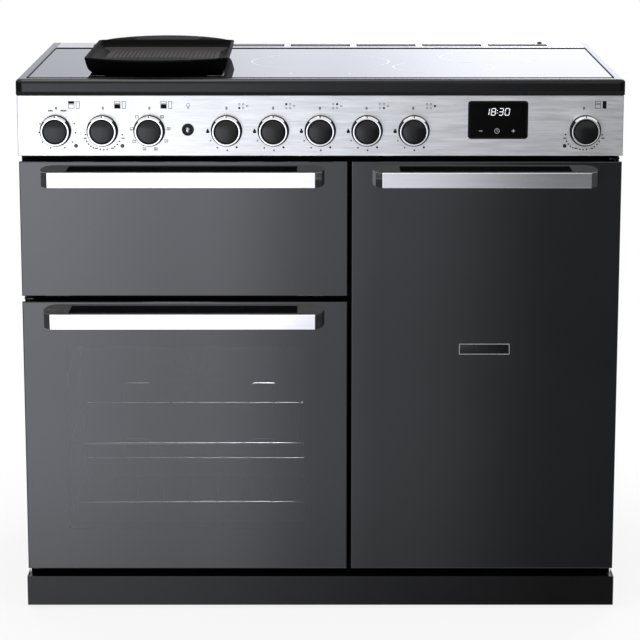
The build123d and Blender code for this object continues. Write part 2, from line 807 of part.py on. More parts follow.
def doors():
    """The three doors with their pans, handles and hinges."""
    hinges = []

    main = (-x_door, x_left_right, z_door_bottom, z_main_top)
    x0, x1, z0, z1 = main
    save("main_door_glass", door_panel(*main))
    pan = side_hinged_pan(*main, side=-1)
    hinges += side_hinges(*main, side=-1)
    wx0 = x0 + window_side
    wx1 = x1 - window_side
    wz0 = z0 + window_below
    wz1 = z1 - window_above
    y_seat = y_door_back - door_liner_wall
    rim = window_ledge + door_liner_wall
    pan += block(wx0 - rim, wx1 + rim, y_glass_back, y_seat, wz0 - rim, wz1 + rim)
    pan -= block(
        wx0 - window_ledge, wx1 + window_ledge,
        y_glass_back - past, y_seat,
        wz0 - window_ledge, wz1 + window_ledge,
    )
    pan -= block(wx0, wx1, y_seat - past, y_door_back + past, wz0, wz1)
    save("main_door_liner", pan)
    edge = window_ledge - inner_glass_clearance
    pane = block(wx0 - edge, wx1 + edge, y_seat - inner_glass_thickness, y_seat, wz0 - edge, wz1 + edge)
    save("main_inner_glass", pane)
    save("main_door_handle", handle(x0, x1, z1 - main_handle_drop))

    tall = (x_tall_left, x_door, z_door_bottom, z_door_top)
    x0, x1, z0, z1 = tall
    save("tall_door_panel", door_panel(*tall))
    save("tall_door_liner", side_hinged_pan(*tall, side=1))
    hinges += side_hinges(*tall, side=1)
    save("tall_door_handle", handle(x0, x1, z1 - top_handle_drop))

    grill = (-x_door, x_left_right, z_grill_bottom, z_door_top)
    x0, x1, z0, z1 = grill
    save("grill_door_panel", door_panel(*grill))
    pan = door_pan(*grill)
    y_hinge = y_door + drop_hinge_setback
    z_hinge = z0 + drop_hinge_rise
    slot = drop_lug_radius + drop_lug_clearance
    for x_lug in (x0 + drop_hinge_from_edge, x1 - drop_hinge_from_edge):
        pan += block(
            x_lug - drop_block_half_width, x_lug + drop_block_half_width,
            y_glass_back, y_door_back,
            z0 + door_liner_inset, z_hinge + 2 * drop_lug_radius,
        )
        half_slot = drop_lug_thickness / 2 + drop_lug_clearance
        pan -= block(
            x_lug - half_slot, x_lug + half_slot,
            y_hinge - slot, y_door_back + past,
            z0, z_hinge + slot,
        )
        half_bore = drop_pin_reach + drop_lug_clearance
        bore = hinge_pin_radius + hinge_pin_clearance
        pan -= rod_x(y_hinge, z_hinge, x_lug - half_bore, x_lug + half_bore, bore)
        half_lug = drop_lug_thickness / 2
        lug = block(
            x_lug - half_lug, x_lug + half_lug,
            y_hinge, y_frame,
            z_hinge - drop_lug_radius, z_hinge + drop_lug_radius,
        )
        lug += rod_x(y_hinge, z_hinge, x_lug - half_lug, x_lug + half_lug, drop_lug_radius)
        lug += rod_x(y_hinge, z_hinge, x_lug - drop_pin_reach, x_lug + drop_pin_reach, hinge_pin_radius)
        hinges.append(lug)
    save("grill_door_liner", pan)
    save("grill_door_handle", handle(x0, x1, z1 - top_handle_drop))
    save("hinge_pins", *hinges)


def oven_fan(x, z, y_back):
    """Radial fan wheel with its shaft running back into the motor."""
    y_rear_face = y_back - oven_fan_rear_gap
    y_front_face = y_rear_face - oven_fan_thickness
    wheel = rod_y(x, z, y_rear_face - fan_disc_thickness, y_rear_face, oven_fan_radius)
    wheel += rod_y(x, z, y_front_face, y_rear_face, oven_fan_hub_radius)
    blade = block(
        fan_blade_inner, oven_fan_radius - fan_blade_tip_gap,
        y_front_face, y_rear_face - fan_disc_thickness / 2,
        -fan_blade_thickness / 2, fan_blade_thickness / 2,
    )
    for number in range(fan_blade_count):
        wheel += Pos(x, 0, z) * Rot(0, number * 360 / fan_blade_count, 0) * blade
    wheel += rod_y(x, z, y_rear_face, y_back + liner_wall + motor_engagement, motor_shaft_radius)
    return wheel


def baffle(x, z, y_back):
    """Pressed cover in front of an oven fan, with inlet slots and side outlets."""
    y_front = y_back - baffle_depth
    cover = block(
        x - baffle_half_width, x + baffle_half_width,
        y_front, y_back,
        z - baffle_half_height, z + baffle_half_height,
    )
    cover = fillet(cover.faces().sort_by(Axis.Y)[0].edges(), baffle_edge_radius)
    cover -= block(
        x - baffle_half_width + sheet, x + baffle_half_width - sheet,
        y_front + sheet, y_back + past,
        z - baffle_half_height + sheet, z + baffle_half_height - sheet,
    )
    slot = block(
        baffle_inlet_inner, baffle_inlet_outer,
        y_front - past, y_front + sheet + past,
        -baffle_slot_width / 2, baffle_slot_width / 2,
    )
    for number in range(baffle_slot_count):
        cover -= Pos(x, 0, z) * Rot(0, number * 360 / baffle_slot_count, 0) * slot
    for side in (-1, 1):
        x_outlet = x + side * (baffle_half_width - baffle_outlet_inset)
        cover -= block(
            x_outlet - baffle_outlet_width / 2, x_outlet + baffle_outlet_width / 2,
            y_front - past, y_front + sheet + past,
            z - baffle_outlet_length / 2, z + baffle_outlet_length / 2,
        )
    return cover


def ring_element(x, z, y_back):
    """Ring heater round a fan wheel, on two feet from the rear wall."""
    y_ring = y_back - ring_element_gap
    ring = Pos(x, y_ring, z) * Rot(90, 0, 0) * Torus(ring_element_radius, ring_element_rod)
    for side in (-1, 1):
        ring += rod_y(x + side * ring_element_radius, z, y_ring, y_back, ring_element_foot_radius)
    return ring


def ladders(mouth, heights):
    """Left and right shelf ladders on the side walls of a cavity."""
    left, right, bottom = mouth[:3]
    y_front = y_frame_back + ladder_front_gap
    y_end = y_liner_back - liner_wall - ladder_rear_gap
    result = []
    for wall, inward in ((left, 1), (right, -1)):
        ladder = None
        for y_strip in (y_front, y_end - ladder_strip):
            x_face = wall + inward * ladder_strip_thickness
            strip = block(
                min(wall, x_face), max(wall, x_face),
                y_strip, y_strip + ladder_strip,
                bottom + min(heights) - ladder_strip, bottom + max(heights) + ladder_strip,
            )
            ladder = strip if ladder is None else ladder + strip
        for height in heights:
            x_tip = wall + inward * ladder_rail_reach
            ladder += block(
                min(wall, x_tip), max(wall, x_tip),
                y_front, y_end,
                bottom + height - ladder_rail_thickness, bottom + height,
            )
        result.append(ladder)
    return result


def shelf(mouth, height):
    """Flat barred oven shelf resting on the ladder rails."""
    left, right, bottom = mouth[:3]
    x0 = left + shelf_side_gap
    x1 = right - shelf_side_gap
    y0 = y_frame_back + shelf_front_gap
    y1 = y_liner_back - liner_wall - shelf_rear_gap
    z0 = bottom + height + shelf_rest_gap
    plate = Rectangle(x1 - x0, y1 - y0)
    inner_width = x1 - x0 - 2 * shelf_border
    slot_width = (inner_width - (shelf_slot_count - 1) * shelf_bar) / shelf_slot_count
    slot_length = (y1 - y0 - 3 * shelf_border) / 2
    for number in range(shelf_slot_count):
        x_slot = (number - (shelf_slot_count - 1) / 2) * (slot_width + shelf_bar)
        for end in (-1, 1):
            plate -= Pos(x_slot, end * (slot_length + shelf_border) / 2) * Rectangle(slot_width, slot_length)
    return Pos((x0 + x1) / 2, (y0 + y1) / 2, z0) * extrude(plate, shelf_thickness)


def grill_rod():
    """Serpentine grill element below the roof of the grill chamber."""
    left, right, _, top = grill_mouth
    x_middle = (left + right) / 2
    z_rod = top - grill_rod_drop
    y_back = y_liner_back - liner_wall
    y_turn_front = y_frame_back + grill_rod_front_gap
    y_turn_rear = y_back - grill_rod_front_gap
    half_pitch = grill_rod_pitch / 2
    x_first = x_middle - (grill_rod_count - 1) * half_pitch
    runs = []
    for number in range(grill_rod_count):
        x = x_first + number * grill_rod_pitch
        last = number == grill_rod_count - 1
        y_rear_end = y_back if number == 0 or last else y_turn_rear
        runs.append(Line((x, y_turn_front, z_rod), (x, y_rear_end, z_rod)))
        if last:
            continue
        at_front = number % 2 == 0
        y_turn = y_turn_front if at_front else y_turn_rear
        y_tip = y_turn - half_pitch if at_front else y_turn + half_pitch
        ends = ((x, y_turn, z_rod), (x + half_pitch, y_tip, z_rod), (x + grill_rod_pitch, y_turn, z_rod))
        runs.append(ThreePointArc(*ends))
    path = Wire(runs)
    section = Plane(origin=(x_first, y_back, z_rod), z_dir=(0, -1, 0)) * Circle(grill_rod_radius)
    return sweep(section, path=path)


def grill_pan():
    """Shallow grill pan hung by its rim on the side rails of the grill chamber."""
    left, right, bottom = grill_mouth[:3]
    y0 = y_frame_back + shelf_front_gap
    y1 = y_liner_back - liner_wall - shelf_rear_gap
    z_rim = bottom + grill_rail_height + shelf_rest_gap
    z_floor = z_rim - grill_pan_depth
    x0 = left + ladder_rail_reach + grill_pan_wall_gap
    x1 = right - ladder_rail_reach - grill_pan_wall_gap
    pan = block(x0, x1, y0, y1, z_floor, z_rim)
    z_top = z_rim + grill_pan_rim_thickness
    pan += block(left + grill_pan_side_gap, right - grill_pan_side_gap, y0, y1, z_rim, z_top)
    return pan - block(
        x0 + grill_pan_sheet, x1 - grill_pan_sheet,
        y0 + grill_pan_sheet, y1 - grill_pan_sheet,
        z_floor + grill_pan_sheet, z_top + past,
    )


def ovens():
    """Cavity liners with their insulation, shelves, elements and fans."""
    y_wall = y_liner_back - liner_wall
    blankets = []
    motors = []
    fans = {"main": main_mouth, "tall": tall_mouth}
    centres = {}
    for name, mouth in (("main", main_mouth), ("grill", grill_mouth), ("tall", tall_mouth)):
        x0, x1, z0, z1 = mouth
        left = x0 - liner_wall
        right = x1 + liner_wall
        bottom = z0 - liner_wall
        top = z1 + liner_wall
        liner = block(left, right, y_frame_back, y_liner_back, bottom, top)
        liner -= block(x0, x1, y_frame_back - past, y_wall, z0, z1)
        blanket = block(
            left - insulation, right + insulation,
            y_frame_back, y_liner_back + insulation,
            bottom - insulation, top + insulation,
        )
        blanket -= block(left, right, y_frame_back - past, y_liner_back, bottom, top)
        if name in fans:
            x = (x0 + x1) / 2
            z = (z0 + z1) / 2
            centres[name] = (x, z)
            liner -= rod_y(x, z, y_wall - past, y_liner_back + past, motor_shaft_hole_radius)
            blanket -= rod_y(x, z, y_liner_back - past, y_liner_back + insulation + past, motor_hole_radius)
            motor = rod_y(x, z, y_liner_back, y_liner_back + motor_length, motor_radius)
            bore = motor_shaft_radius + motor_shaft_clearance
            y_bore_end = y_liner_back + motor_engagement + past
            motors.append(motor - rod_y(x, z, y_liner_back - past, y_bore_end, bore))
            save(name + "_oven_fan", oven_fan(x, z, y_wall))
        save(name + ("_liner" if name == "grill" else "_oven_liner"), liner)
        blankets.append(blanket)
    save("oven_insulation", *blankets)
    save("fan_baffles", *[baffle(x, z, y_wall) for x, z in centres.values()])
    rings = [ring_element(x, z, y_wall) for x, z in centres.values()]
    save("heating_elements", grill_rod(), *rings)

    rails = ladders(main_mouth, main_shelf_heights)
    rails += ladders(tall_mouth, tall_shelf_heights)
    rails += ladders(grill_mouth, (grill_rail_height,))
    save("shelf_ladders", *rails)
    for label, number in zip(("lower", "upper"), main_shelves_on):
        save("main_shelf_" + label, shelf(main_mouth, main_shelf_heights[number]))
    for label, number in zip(("lower", "upper"), tall_shelves_on):
        save("tall_shelf_" + label, shelf(tall_mouth, tall_shelf_heights[number]))
    save("grill_pan", grill_pan())

    save("fan_motors", *motors, hob_motor())
    save("hob_fan", hob_fan())


def hob_motor():
    """Motor of the hob's cooling fan, under the coil tray."""
    z_bottom = z_tray - hob_motor_height
    motor = rod_z(hob_fan_x, hob_fan_y, z_bottom, z_tray, hob_motor_radius)
    bore = motor_shaft_radius + motor_shaft_clearance
    return motor - rod_z(hob_fan_x, hob_fan_y, z_bottom - past, z_tray - hob_motor_end, bore)


def hob_fan():
    """Cooling fan wheel that hangs below its motor."""
    z_top = z_tray - hob_motor_height - hob_fan_gap
    z_middle = z_top - hob_fan_height / 2
    wheel = rod_z(hob_fan_x, hob_fan_y, z_top - hob_fan_height, z_top, hob_fan_hub_radius)
    blade = block(
        hob_fan_hub_radius - hob_fan_blade_root, hob_fan_radius,
        -hob_fan_blade_width / 2, hob_fan_blade_width / 2,
        -hob_fan_blade_thickness / 2, hob_fan_blade_thickness / 2,
    )
    for number in range(hob_fan_blade_count):
        turn = Rot(0, 0, number * 360 / hob_fan_blade_count)
        wheel += Pos(hob_fan_x, hob_fan_y, z_middle) * turn * Rot(hob_fan_blade_pitch, 0, 0) * blade
    z_shaft = z_tray - hob_motor_end - hob_shaft_end_gap
    return wheel + rod_z(hob_fan_x, hob_fan_y, z_top, z_shaft, motor_shaft_radius)


os.makedirs("parts", exist_ok=True)
carcass()
hob()
griddle()
controls()
doors()
ovens()
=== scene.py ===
"""Looks of the induction range cooker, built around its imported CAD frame."""
import json
import math

import bmesh
import bpy
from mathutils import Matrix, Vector


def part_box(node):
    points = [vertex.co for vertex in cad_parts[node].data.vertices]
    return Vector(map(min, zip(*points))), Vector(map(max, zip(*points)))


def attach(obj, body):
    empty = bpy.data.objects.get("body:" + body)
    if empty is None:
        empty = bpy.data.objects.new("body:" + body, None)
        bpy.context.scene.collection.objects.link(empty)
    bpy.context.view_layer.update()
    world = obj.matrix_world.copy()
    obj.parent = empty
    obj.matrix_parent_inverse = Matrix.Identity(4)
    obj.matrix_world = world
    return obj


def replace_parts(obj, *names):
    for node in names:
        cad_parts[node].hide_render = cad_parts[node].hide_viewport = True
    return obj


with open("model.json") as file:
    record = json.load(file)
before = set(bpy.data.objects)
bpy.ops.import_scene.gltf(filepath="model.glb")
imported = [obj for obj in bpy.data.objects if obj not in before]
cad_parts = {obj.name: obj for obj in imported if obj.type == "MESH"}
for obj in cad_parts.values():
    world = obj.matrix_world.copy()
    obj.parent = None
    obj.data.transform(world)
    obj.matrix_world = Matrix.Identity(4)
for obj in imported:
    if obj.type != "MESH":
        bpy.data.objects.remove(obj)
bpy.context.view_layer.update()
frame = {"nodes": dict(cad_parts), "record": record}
nodes = frame["nodes"]
MM = 0.001
FRONT, BACK, UP, DOWN = (0, -1, 0), (0, 1, 0), (0, 0, 1), (0, 0, -1)
for packed in list(bpy.data.materials):
    bpy.data.materials.remove(packed)


# Node helpers

def add(tree, kind, inputs=None, **settings):
    """A node with its settings, and its inputs given as values or as other nodes' sockets."""
    made = tree.nodes.new(kind)
    for key, value in settings.items():
        setattr(made, key, value)
    for key, value in (inputs or {}).items():
        if isinstance(value, bpy.types.NodeSocket):
            tree.links.new(value, made.inputs[key])
        else:
            made.inputs[key].default_value = value
    return made


def effect_group(name, inputs):
    """A node group for one surface effect, which puts out a mask and a height."""
    tree = bpy.data.node_groups.new(name, "ShaderNodeTree")
    for label, value in inputs.items():
        socket = tree.interface.new_socket(label, in_out="INPUT", socket_type="NodeSocketFloat")
        socket.default_value = value
    for label in ("Mask", "Height"):
        tree.interface.new_socket(label, in_out="OUTPUT", socket_type="NodeSocketFloat")
    start = tree.nodes.new("NodeGroupInput").outputs
    end = tree.nodes.new("NodeGroupOutput").inputs
    place = tree.nodes.new("ShaderNodeTexCoord").outputs["Object"]
    return tree, start, end, place


def put_out(tree, end, mask, height):
    """Joins an effect's mask and height to its group's outputs."""
    tree.links.new(mask, end["Mask"])
    tree.links.new(height, end["Height"])
    return tree


def stretched(tree, place, x, y, z):
    """Object coordinates scaled apart along the three axes."""
    scale = add(tree, "ShaderNodeCombineXYZ", {"X": x, "Y": y, "Z": z})
    scaled = add(tree, "ShaderNodeVectorMath", {0: place, 1: scale.outputs[0]}, operation="MULTIPLY")
    return scaled.outputs[0]


def noise(tree, place, scale, detail, **more):
    """Cloudy values over the surface."""
    inputs = {"Vector": place, "Scale": scale, "Detail": detail, **more}
    return add(tree, "ShaderNodeTexNoise", inputs).outputs["Fac"]


def brushed_grain():
    """Fine scratches that run along the width, with broader pale streaks among them."""
    tree, start, end, place = effect_group("brushed_grain", {"Along": 9.0, "Across": 900.0, "Streak": 110.0})
    fine = stretched(tree, place, start["Along"], start["Across"], start["Across"])
    broad = stretched(tree, place, start["Along"], start["Streak"], start["Streak"])
    scratches = noise(tree, fine, 1.0, 6.0, Roughness=0.7)
    streaks = noise(tree, broad, 1.0, 3.0, Roughness=0.55)
    both = add(tree, "ShaderNodeMath", {0: scratches, 1: streaks}, operation="ADD")
    half = add(tree, "ShaderNodeMath", {0: both.outputs[0], 1: 0.5}, operation="MULTIPLY")
    mask = add(tree, "ShaderNodeMapRange", {"Value": half.outputs[0], "From Min": 0.34, "From Max": 0.66})
    return put_out(tree, end, mask.outputs[0], scratches)


def hand_smudges():
    """Soft uneven patches left by hands and cloths, over a faint ripple of the surface."""
    tree, start, end, place = effect_group("hand_smudges", {"Scale": 7.0, "Ripple": 60.0})
    patches = noise(tree, place, start["Scale"], 5.0, Distortion=0.6)
    mask = add(tree, "ShaderNodeMapRange", {"Value": patches, "From Min": 0.38, "From Max": 0.72})
    return put_out(tree, end, mask.outputs[0], noise(tree, place, start["Ripple"], 1.0))


def pebble_grain():
    """Small rounded bumps, as on castings, powder paint and moulded plastic."""
    tree, start, end, place = effect_group("pebble_grain", {"Scale": 900.0, "Patch": 12.0})
    bumps = add(tree, "ShaderNodeTexVoronoi", {"Vector": place, "Scale": start["Scale"], "Randomness": 1.0})
    return put_out(tree, end, noise(tree, place, start["Patch"], 4.0), bumps.outputs["Distance"])


def zinc_spangle():
    """Flat crystals of galvanised sheet, each with its own shade."""
    tree, start, end, place = effect_group("zinc_spangle", {"Scale": 170.0})
    cells = add(tree, "ShaderNodeTexVoronoi", {"Vector": place, "Scale": start["Scale"]})
    shade = add(tree, "ShaderNodeSeparateColor", {"Color": cells.outputs["Color"]})
    return put_out(tree, end, shade.outputs[0], noise(tree, place, 420.0, 3.0))


def enamel_flecks():
    """Tiny pale flecks in fired enamel, over its slight orange peel."""
    tree, start, end, place = effect_group("enamel_flecks", {"Scale": 260.0, "Size": 0.16, "Peel": 150.0})
    spots = add(tree, "ShaderNodeTexVoronoi", {"Vector": place, "Scale": start["Scale"]})
    mask = add(tree, "ShaderNodeMath", {0: spots.outputs["Distance"], 1: start["Size"]}, operation="LESS_THAN")
    return put_out(tree, end, mask.outputs[0], noise(tree, place, start["Peel"], 1.0))


def wool_fibres():
    """Tangled fibres of a mineral wool blanket."""
    tree, start, end, place = effect_group("wool_fibres", {"Scale": 160.0})
    fibres = noise(tree, place, start["Scale"], 8.0, Distortion=2.5)
    mask = add(tree, "ShaderNodeMath", {0: fibres, 1: noise(tree, place, 25.0, 3.0)}, operation="MULTIPLY")
    wide = add(tree, "ShaderNodeMapRange", {"Value": mask.outputs[0], "From Min": 0.1, "From Max": 0.45})
    return put_out(tree, end, wide.outputs[0], fibres)


GRAIN = brushed_grain()
SMUDGE = hand_smudges()
PEBBLE = pebble_grain()
SPANGLE = zinc_spangle()
FLECK = enamel_flecks()
WOOL = wool_fibres()


# Finishes

def finish(name, effect, values, colours, rough, bump=(0.0, 0.001), **fixed):
    """A material whose colour and roughness follow an effect's mask and whose bump follows its height."""
    made = bpy.data.materials.new(name)
    made.use_nodes = True
    tree = made.node_tree
    surface = tree.nodes["Principled BSDF"]
    for label, value in fixed.items():
        surface.inputs[label.replace("_", " ")].default_value = value
    source = add(tree, "ShaderNodeGroup", node_tree=effect)
    for label, value in values.items():
        source.inputs[label].default_value = value
    mask = source.outputs["Mask"]
    dark, light = ((*colour, 1.0) for colour in colours)
    shade = add(tree, "ShaderNodeMix", {0: mask, 6: dark, 7: light}, data_type="RGBA")
    tree.links.new(shade.outputs[2], surface.inputs["Base Color"])
    sheen = add(tree, "ShaderNodeMapRange", {"Value": mask, "To Min": rough[0], "To Max": rough[1]})
    tree.links.new(sheen.outputs[0], surface.inputs["Roughness"])
    if bump[0]:
        hills = {"Height": source.outputs["Height"], "Strength": bump[0], "Distance": bump[1]}
        relief = add(tree, "ShaderNodeBump", hills)
        tree.links.new(relief.outputs[0], surface.inputs["Normal"])
    return made


def grey(value, warm=0.0):
    """A near-neutral colour, a little warm or cool."""
    return (value * (1 + warm), value, value * (1 - warm))


def greys(dark, light, warm=0.0):
    """A darker and a lighter colour of one tint."""
    return grey(dark, warm), grey(light, warm)


COOL = -0.06
GLASS_POLISH = (0.035, 0.06)
INK_GRAIN = {"Scale": 2500.0}

slate_gloss = finish("slate_gloss", SMUDGE, {}, greys(0.0082, 0.0106, COOL), GLASS_POLISH, (0.02, 0.0004), IOR=1.65)
tinted_glass = finish("tinted_glass", SMUDGE, {}, greys(0.0084, 0.0110, COOL), GLASS_POLISH, IOR=1.83, Alpha=0.7)
clear_glass = finish("clear_glass", SMUDGE, {"Scale": 14.0}, greys(0.30, 0.36), (0.02, 0.05), IOR=1.5, Alpha=0.05)
frosted_glass = finish("frosted_glass", SMUDGE, {"Scale": 40.0}, greys(0.74, 0.80), (0.25, 0.40), IOR=1.5,
                       Transmission_Weight=0.6)
ceramic_glass = finish("ceramic_glass", SMUDGE, {"Scale": 5.0}, greys(0.004, 0.006), (0.02, 0.05), IOR=1.52)
display_glass = finish("display_glass", SMUDGE, {"Scale": 20.0}, greys(0.003, 0.004), (0.03, 0.08), IOR=1.5,
                       Specular_IOR_Level=0.05)
brushed_steel = finish("brushed_steel", GRAIN, {"Along": 16.0, "Streak": 160.0}, greys(0.53, 0.77, -0.01),
                       (0.31, 0.39), (0.06, 0.0003), Metallic=1.0)
polished_steel = finish("polished_steel", GRAIN, {"Across": 500.0}, greys(0.79, 0.86), (0.07, 0.12), (0.02, 0.0002),
                        Metallic=1.0)
chrome_trim = finish("chrome_trim", SMUDGE, {"Scale": 60.0}, greys(0.76, 0.82), (0.04, 0.09), Metallic=1.0)
black_satin = finish("black_satin", PEBBLE, {"Scale": 1400.0}, greys(0.004, 0.007), (0.18, 0.26), (0.05, 0.0002),
                     Specular_IOR_Level=0.35)
black_alloy = finish("black_alloy", PEBBLE, {"Scale": 1800.0}, greys(0.006, 0.009), (0.12, 0.18), (0.03, 0.0002),
                     Specular_IOR_Level=0.28)
graphite_plastic = finish("graphite_plastic", PEBBLE, {"Scale": 1500.0}, greys(0.006, 0.009, -0.03), (0.13, 0.19),
                          (0.03, 0.0002), Specular_IOR_Level=0.31)
knob_black = finish("knob_black", PEBBLE, {"Scale": 1600.0}, greys(0.008, 0.012), (0.30, 0.42), (0.04, 0.0002),
                    Specular_IOR_Level=0.01)
black_plastic = finish("black_plastic", PEBBLE, {"Scale": 1600.0}, greys(0.005, 0.008), (0.24, 0.34), (0.04, 0.0002),
                       Specular_IOR_Level=0.15)
black_rubber = finish("black_rubber", PEBBLE, {"Scale": 700.0}, greys(0.010, 0.016), (0.55, 0.75), (0.12, 0.0003),
                      Specular_IOR_Level=0.12)
galvanised_steel = finish("galvanised_steel", SPANGLE, {}, greys(0.43, 0.55, -0.02), (0.38, 0.50), (0.05, 0.0002),
                          Metallic=1.0)
alloy = finish("alloy", GRAIN, {"Along": 40.0, "Across": 700.0}, greys(0.58, 0.68), (0.30, 0.42), (0.06, 0.0002),
               Metallic=1.0)
oven_enamel = finish("oven_enamel", FLECK, {}, (grey(0.012, -0.04), grey(0.16, -0.02)), (0.28, 0.36),
                     (0.10, 0.0003), Specular_IOR_Level=0.10)
chromed_wire = finish("chromed_wire", SMUDGE, {"Scale": 40.0}, greys(0.40, 0.50), (0.08, 0.18), Metallic=1.0)
# Shelf bars: the rails' chrome darkened, painted shade so that the bars stay dark where the rails gleam
shaded_bar_wire = finish("shaded_bar_wire", SMUDGE, {"Scale": 40.0}, greys(0.04, 0.07), (0.12, 0.20), Metallic=1.0)
heater_sheath = finish("heater_sheath", PEBBLE, {"Scale": 800.0, "Patch": 30.0},
                       ((0.050, 0.042, 0.038), (0.105, 0.082, 0.070)), (0.45, 0.65), (0.08, 0.0002), Metallic=0.6)
mineral_wool = finish("mineral_wool", WOOL, {}, ((0.30, 0.25, 0.13), (0.62, 0.56, 0.38)), (0.88, 0.98), (0.6, 0.002))
coil_windings = finish("coil_windings", GRAIN, {"Along": 300.0}, ((0.42, 0.17, 0.07), (0.66, 0.30, 0.15)),
                       (0.30, 0.45), (0.15, 0.0004), Metallic=1.0)
cast_black = finish("cast_black", PEBBLE, {"Scale": 520.0}, greys(0.005, 0.009, 0.05), (0.45, 0.60), (0.28, 0.0005),
                    Specular_IOR_Level=0.012)
# A lighter copy of the cast black, painted highlight on the griddle's floor and rear inner wall
cast_highlight = finish("cast_highlight", PEBBLE, {"Scale": 640.0}, greys(0.042, 0.060, 0.04), (0.50, 0.65),
                      (0.22, 0.0004), Specular_IOR_Level=0.02)
roller_nylon = finish("roller_nylon", PEBBLE, {"Scale": 900.0}, greys(0.10, 0.13), (0.45, 0.6), (0.05, 0.0003))
dark_ink = finish("dark_ink", PEBBLE, INK_GRAIN, greys(0.004, 0.007), (0.45, 0.6), Specular_IOR_Level=0.08)
grey_ink = finish("grey_ink", PEBBLE, INK_GRAIN, greys(0.10, 0.14), (0.45, 0.6), Specular_IOR_Level=0.02)
zone_ink = finish("zone_ink", PEBBLE, INK_GRAIN, greys(0.60, 0.72), (0.03, 0.07), IOR=1.52)
pale_ink = finish("pale_ink", PEBBLE, INK_GRAIN, greys(0.62, 0.74), (0.40, 0.55))
lit_digits = finish("lit_digits", SMUDGE, {"Scale": 300.0}, greys(0.75, 0.85), (0.4, 0.5), Emission_Strength=0.75,
                    Emission_Color=(0.93, 0.97, 1.0, 1.0))
# A lighter copy of the black satin for the side panels, painted light so that they read dark grey and not black
lightened_side_paint = finish("lightened_side_paint", PEBBLE, {"Scale": 1100.0, "Patch": 5.0}, greys(0.016, 0.024), (0.34, 0.46),
                    (0.08, 0.0002))
# Very dark steel for the oven fans, painted shade at the back of the ovens
shaded_fan_steel = finish("shaded_fan_steel", GRAIN, {"Along": 60.0, "Across": 400.0}, greys(0.05, 0.08), (0.40, 0.55),
                   (0.05, 0.0002), Metallic=1.0)
# A duller copy of the black satin, painted shade for the gaps between the doors
gap_shade_black = finish("gap_shade_black", PEBBLE, {"Scale": 900.0}, greys(0.005, 0.008), (0.40, 0.55), (0.06, 0.0002),
                     Specular_IOR_Level=0.015)
button_gloss = finish("button_gloss", SMUDGE, {"Scale": 90.0}, greys(0.004, 0.006), (0.06, 0.12), IOR=2.1)
neon_lens = finish("neon_lens", SMUDGE, {"Scale": 120.0}, ((0.020, 0.018, 0.019), (0.030, 0.026, 0.028)),
                   (0.10, 0.2), IOR=1.5)

FINISHES = {
    made.name: made
    for made in (
        slate_gloss, tinted_glass, clear_glass, ceramic_glass, display_glass, brushed_steel, polished_steel,
        chrome_trim, black_satin, black_alloy, graphite_plastic, black_plastic, galvanised_steel, alloy, oven_enamel,
        chromed_wire, heater_sheath, mineral_wool, coil_windings, cast_black, roller_nylon,
    )
}
for part in frame["record"]["subparts"]:
    slots = nodes[part["node"]].data.materials
    slots.clear()
    slots.append(FINISHES[part["material_slot"]])
nodes["light_button"].data.materials[0] = button_gloss
# The front frame takes the duller black, painted shade in the door gaps
nodes["front_frame"].data.materials[0] = gap_shade_black
# The side panels take the lighter black, painted light
for side in ("side_panel_left", "side_panel_right"):
    nodes[side].data.materials[0] = lightened_side_paint
# The fans take the darkened steel, painted shade
for fan in ("main_oven_fan", "tall_oven_fan"):
    nodes[fan].data.materials[0] = shaded_fan_steel


# Making helpers

class Form:
    """Points and faces of one piece, in part millimetres."""

    def __init__(self):
        self.points = []
        self.faces = []

    def skin(self, rings, joined=False):
        """A closed skin through rings of equally many points, capped unless the last ring joins the first."""
        first, count = len(self.points), len(rings[0])
        for ring in rings:
            self.points.extend(ring)
        for level in range(len(rings) if joined else len(rings) - 1):
            low = first + level * count
            high = first + (level + 1) % len(rings) * count
            for n in range(count):
                m = (n + 1) % count
                self.faces.append((low + n, low + m, high + m, high + n))
        if not joined:
            self.faces.append(tuple(range(first + count - 1, first - 1, -1)))
            self.faces.append(tuple(range(len(self.points) - count, len(self.points))))
        return self

    def turn(self, profile, middle, axis, steps=40, joined=False):
        """A turned skin about an axis, with each profile step a radius and a distance along the axis."""
        along = Vector(axis).normalized()
        rings = []
        for radius, distance in profile:
            rings.append(circle(Vector(middle) + along * distance, along, radius, steps))
        return self.skin(rings, joined)

    def wire(self, path, radius, steps=8, joined=False):
        """A round wire along a path of points."""
        path = [Vector(point) for point in path]
        rings = []
        side = None
        for n, point in enumerate(path):
            before = path[n - 1] if n or joined else point
            after = path[(n + 1) % len(path)] if n < len(path) - 1 or joined else point
            along = (after - before).normalized()
            side = side or along.orthogonal()
            side = (side - along * side.dot(along)).normalized()
            rings.append(circle(point, along, radius, steps, side))
        return self.skin(rings, joined)

    def make(self, name, body, shade, slot, sharp=30.0):
        """The finished piece, smooth except at its sharp edges."""
        return put(name, self.mesh(name, shade, sharp), body)

    def mesh(self, name, shade, sharp=30.0):
        """The mesh in metres, with its faces turned outwards."""
        mesh = bpy.data.meshes.new(name)
        mesh.from_pydata([[value * MM for value in point] for point in self.points], [], self.faces)
        work = bmesh.new()
        work.from_mesh(mesh)
        bmesh.ops.recalc_face_normals(work, faces=work.faces)
        work.to_mesh(mesh)
        work.free()
        mesh.materials.append(shade)
        mesh.shade_smooth()
        mesh.set_sharp_from_angle(angle=math.radians(sharp))
        return mesh


def circle(middle, along, radius, steps, side=None):
    """Points of a circle about a direction."""
    side = (side or along.orthogonal()).normalized()
    up = along.cross(side)
    turns = [2 * math.pi * n / steps for n in range(steps)]
    return [tuple(middle + (side * math.cos(turn) + up * math.sin(turn)) * radius) for turn in turns]


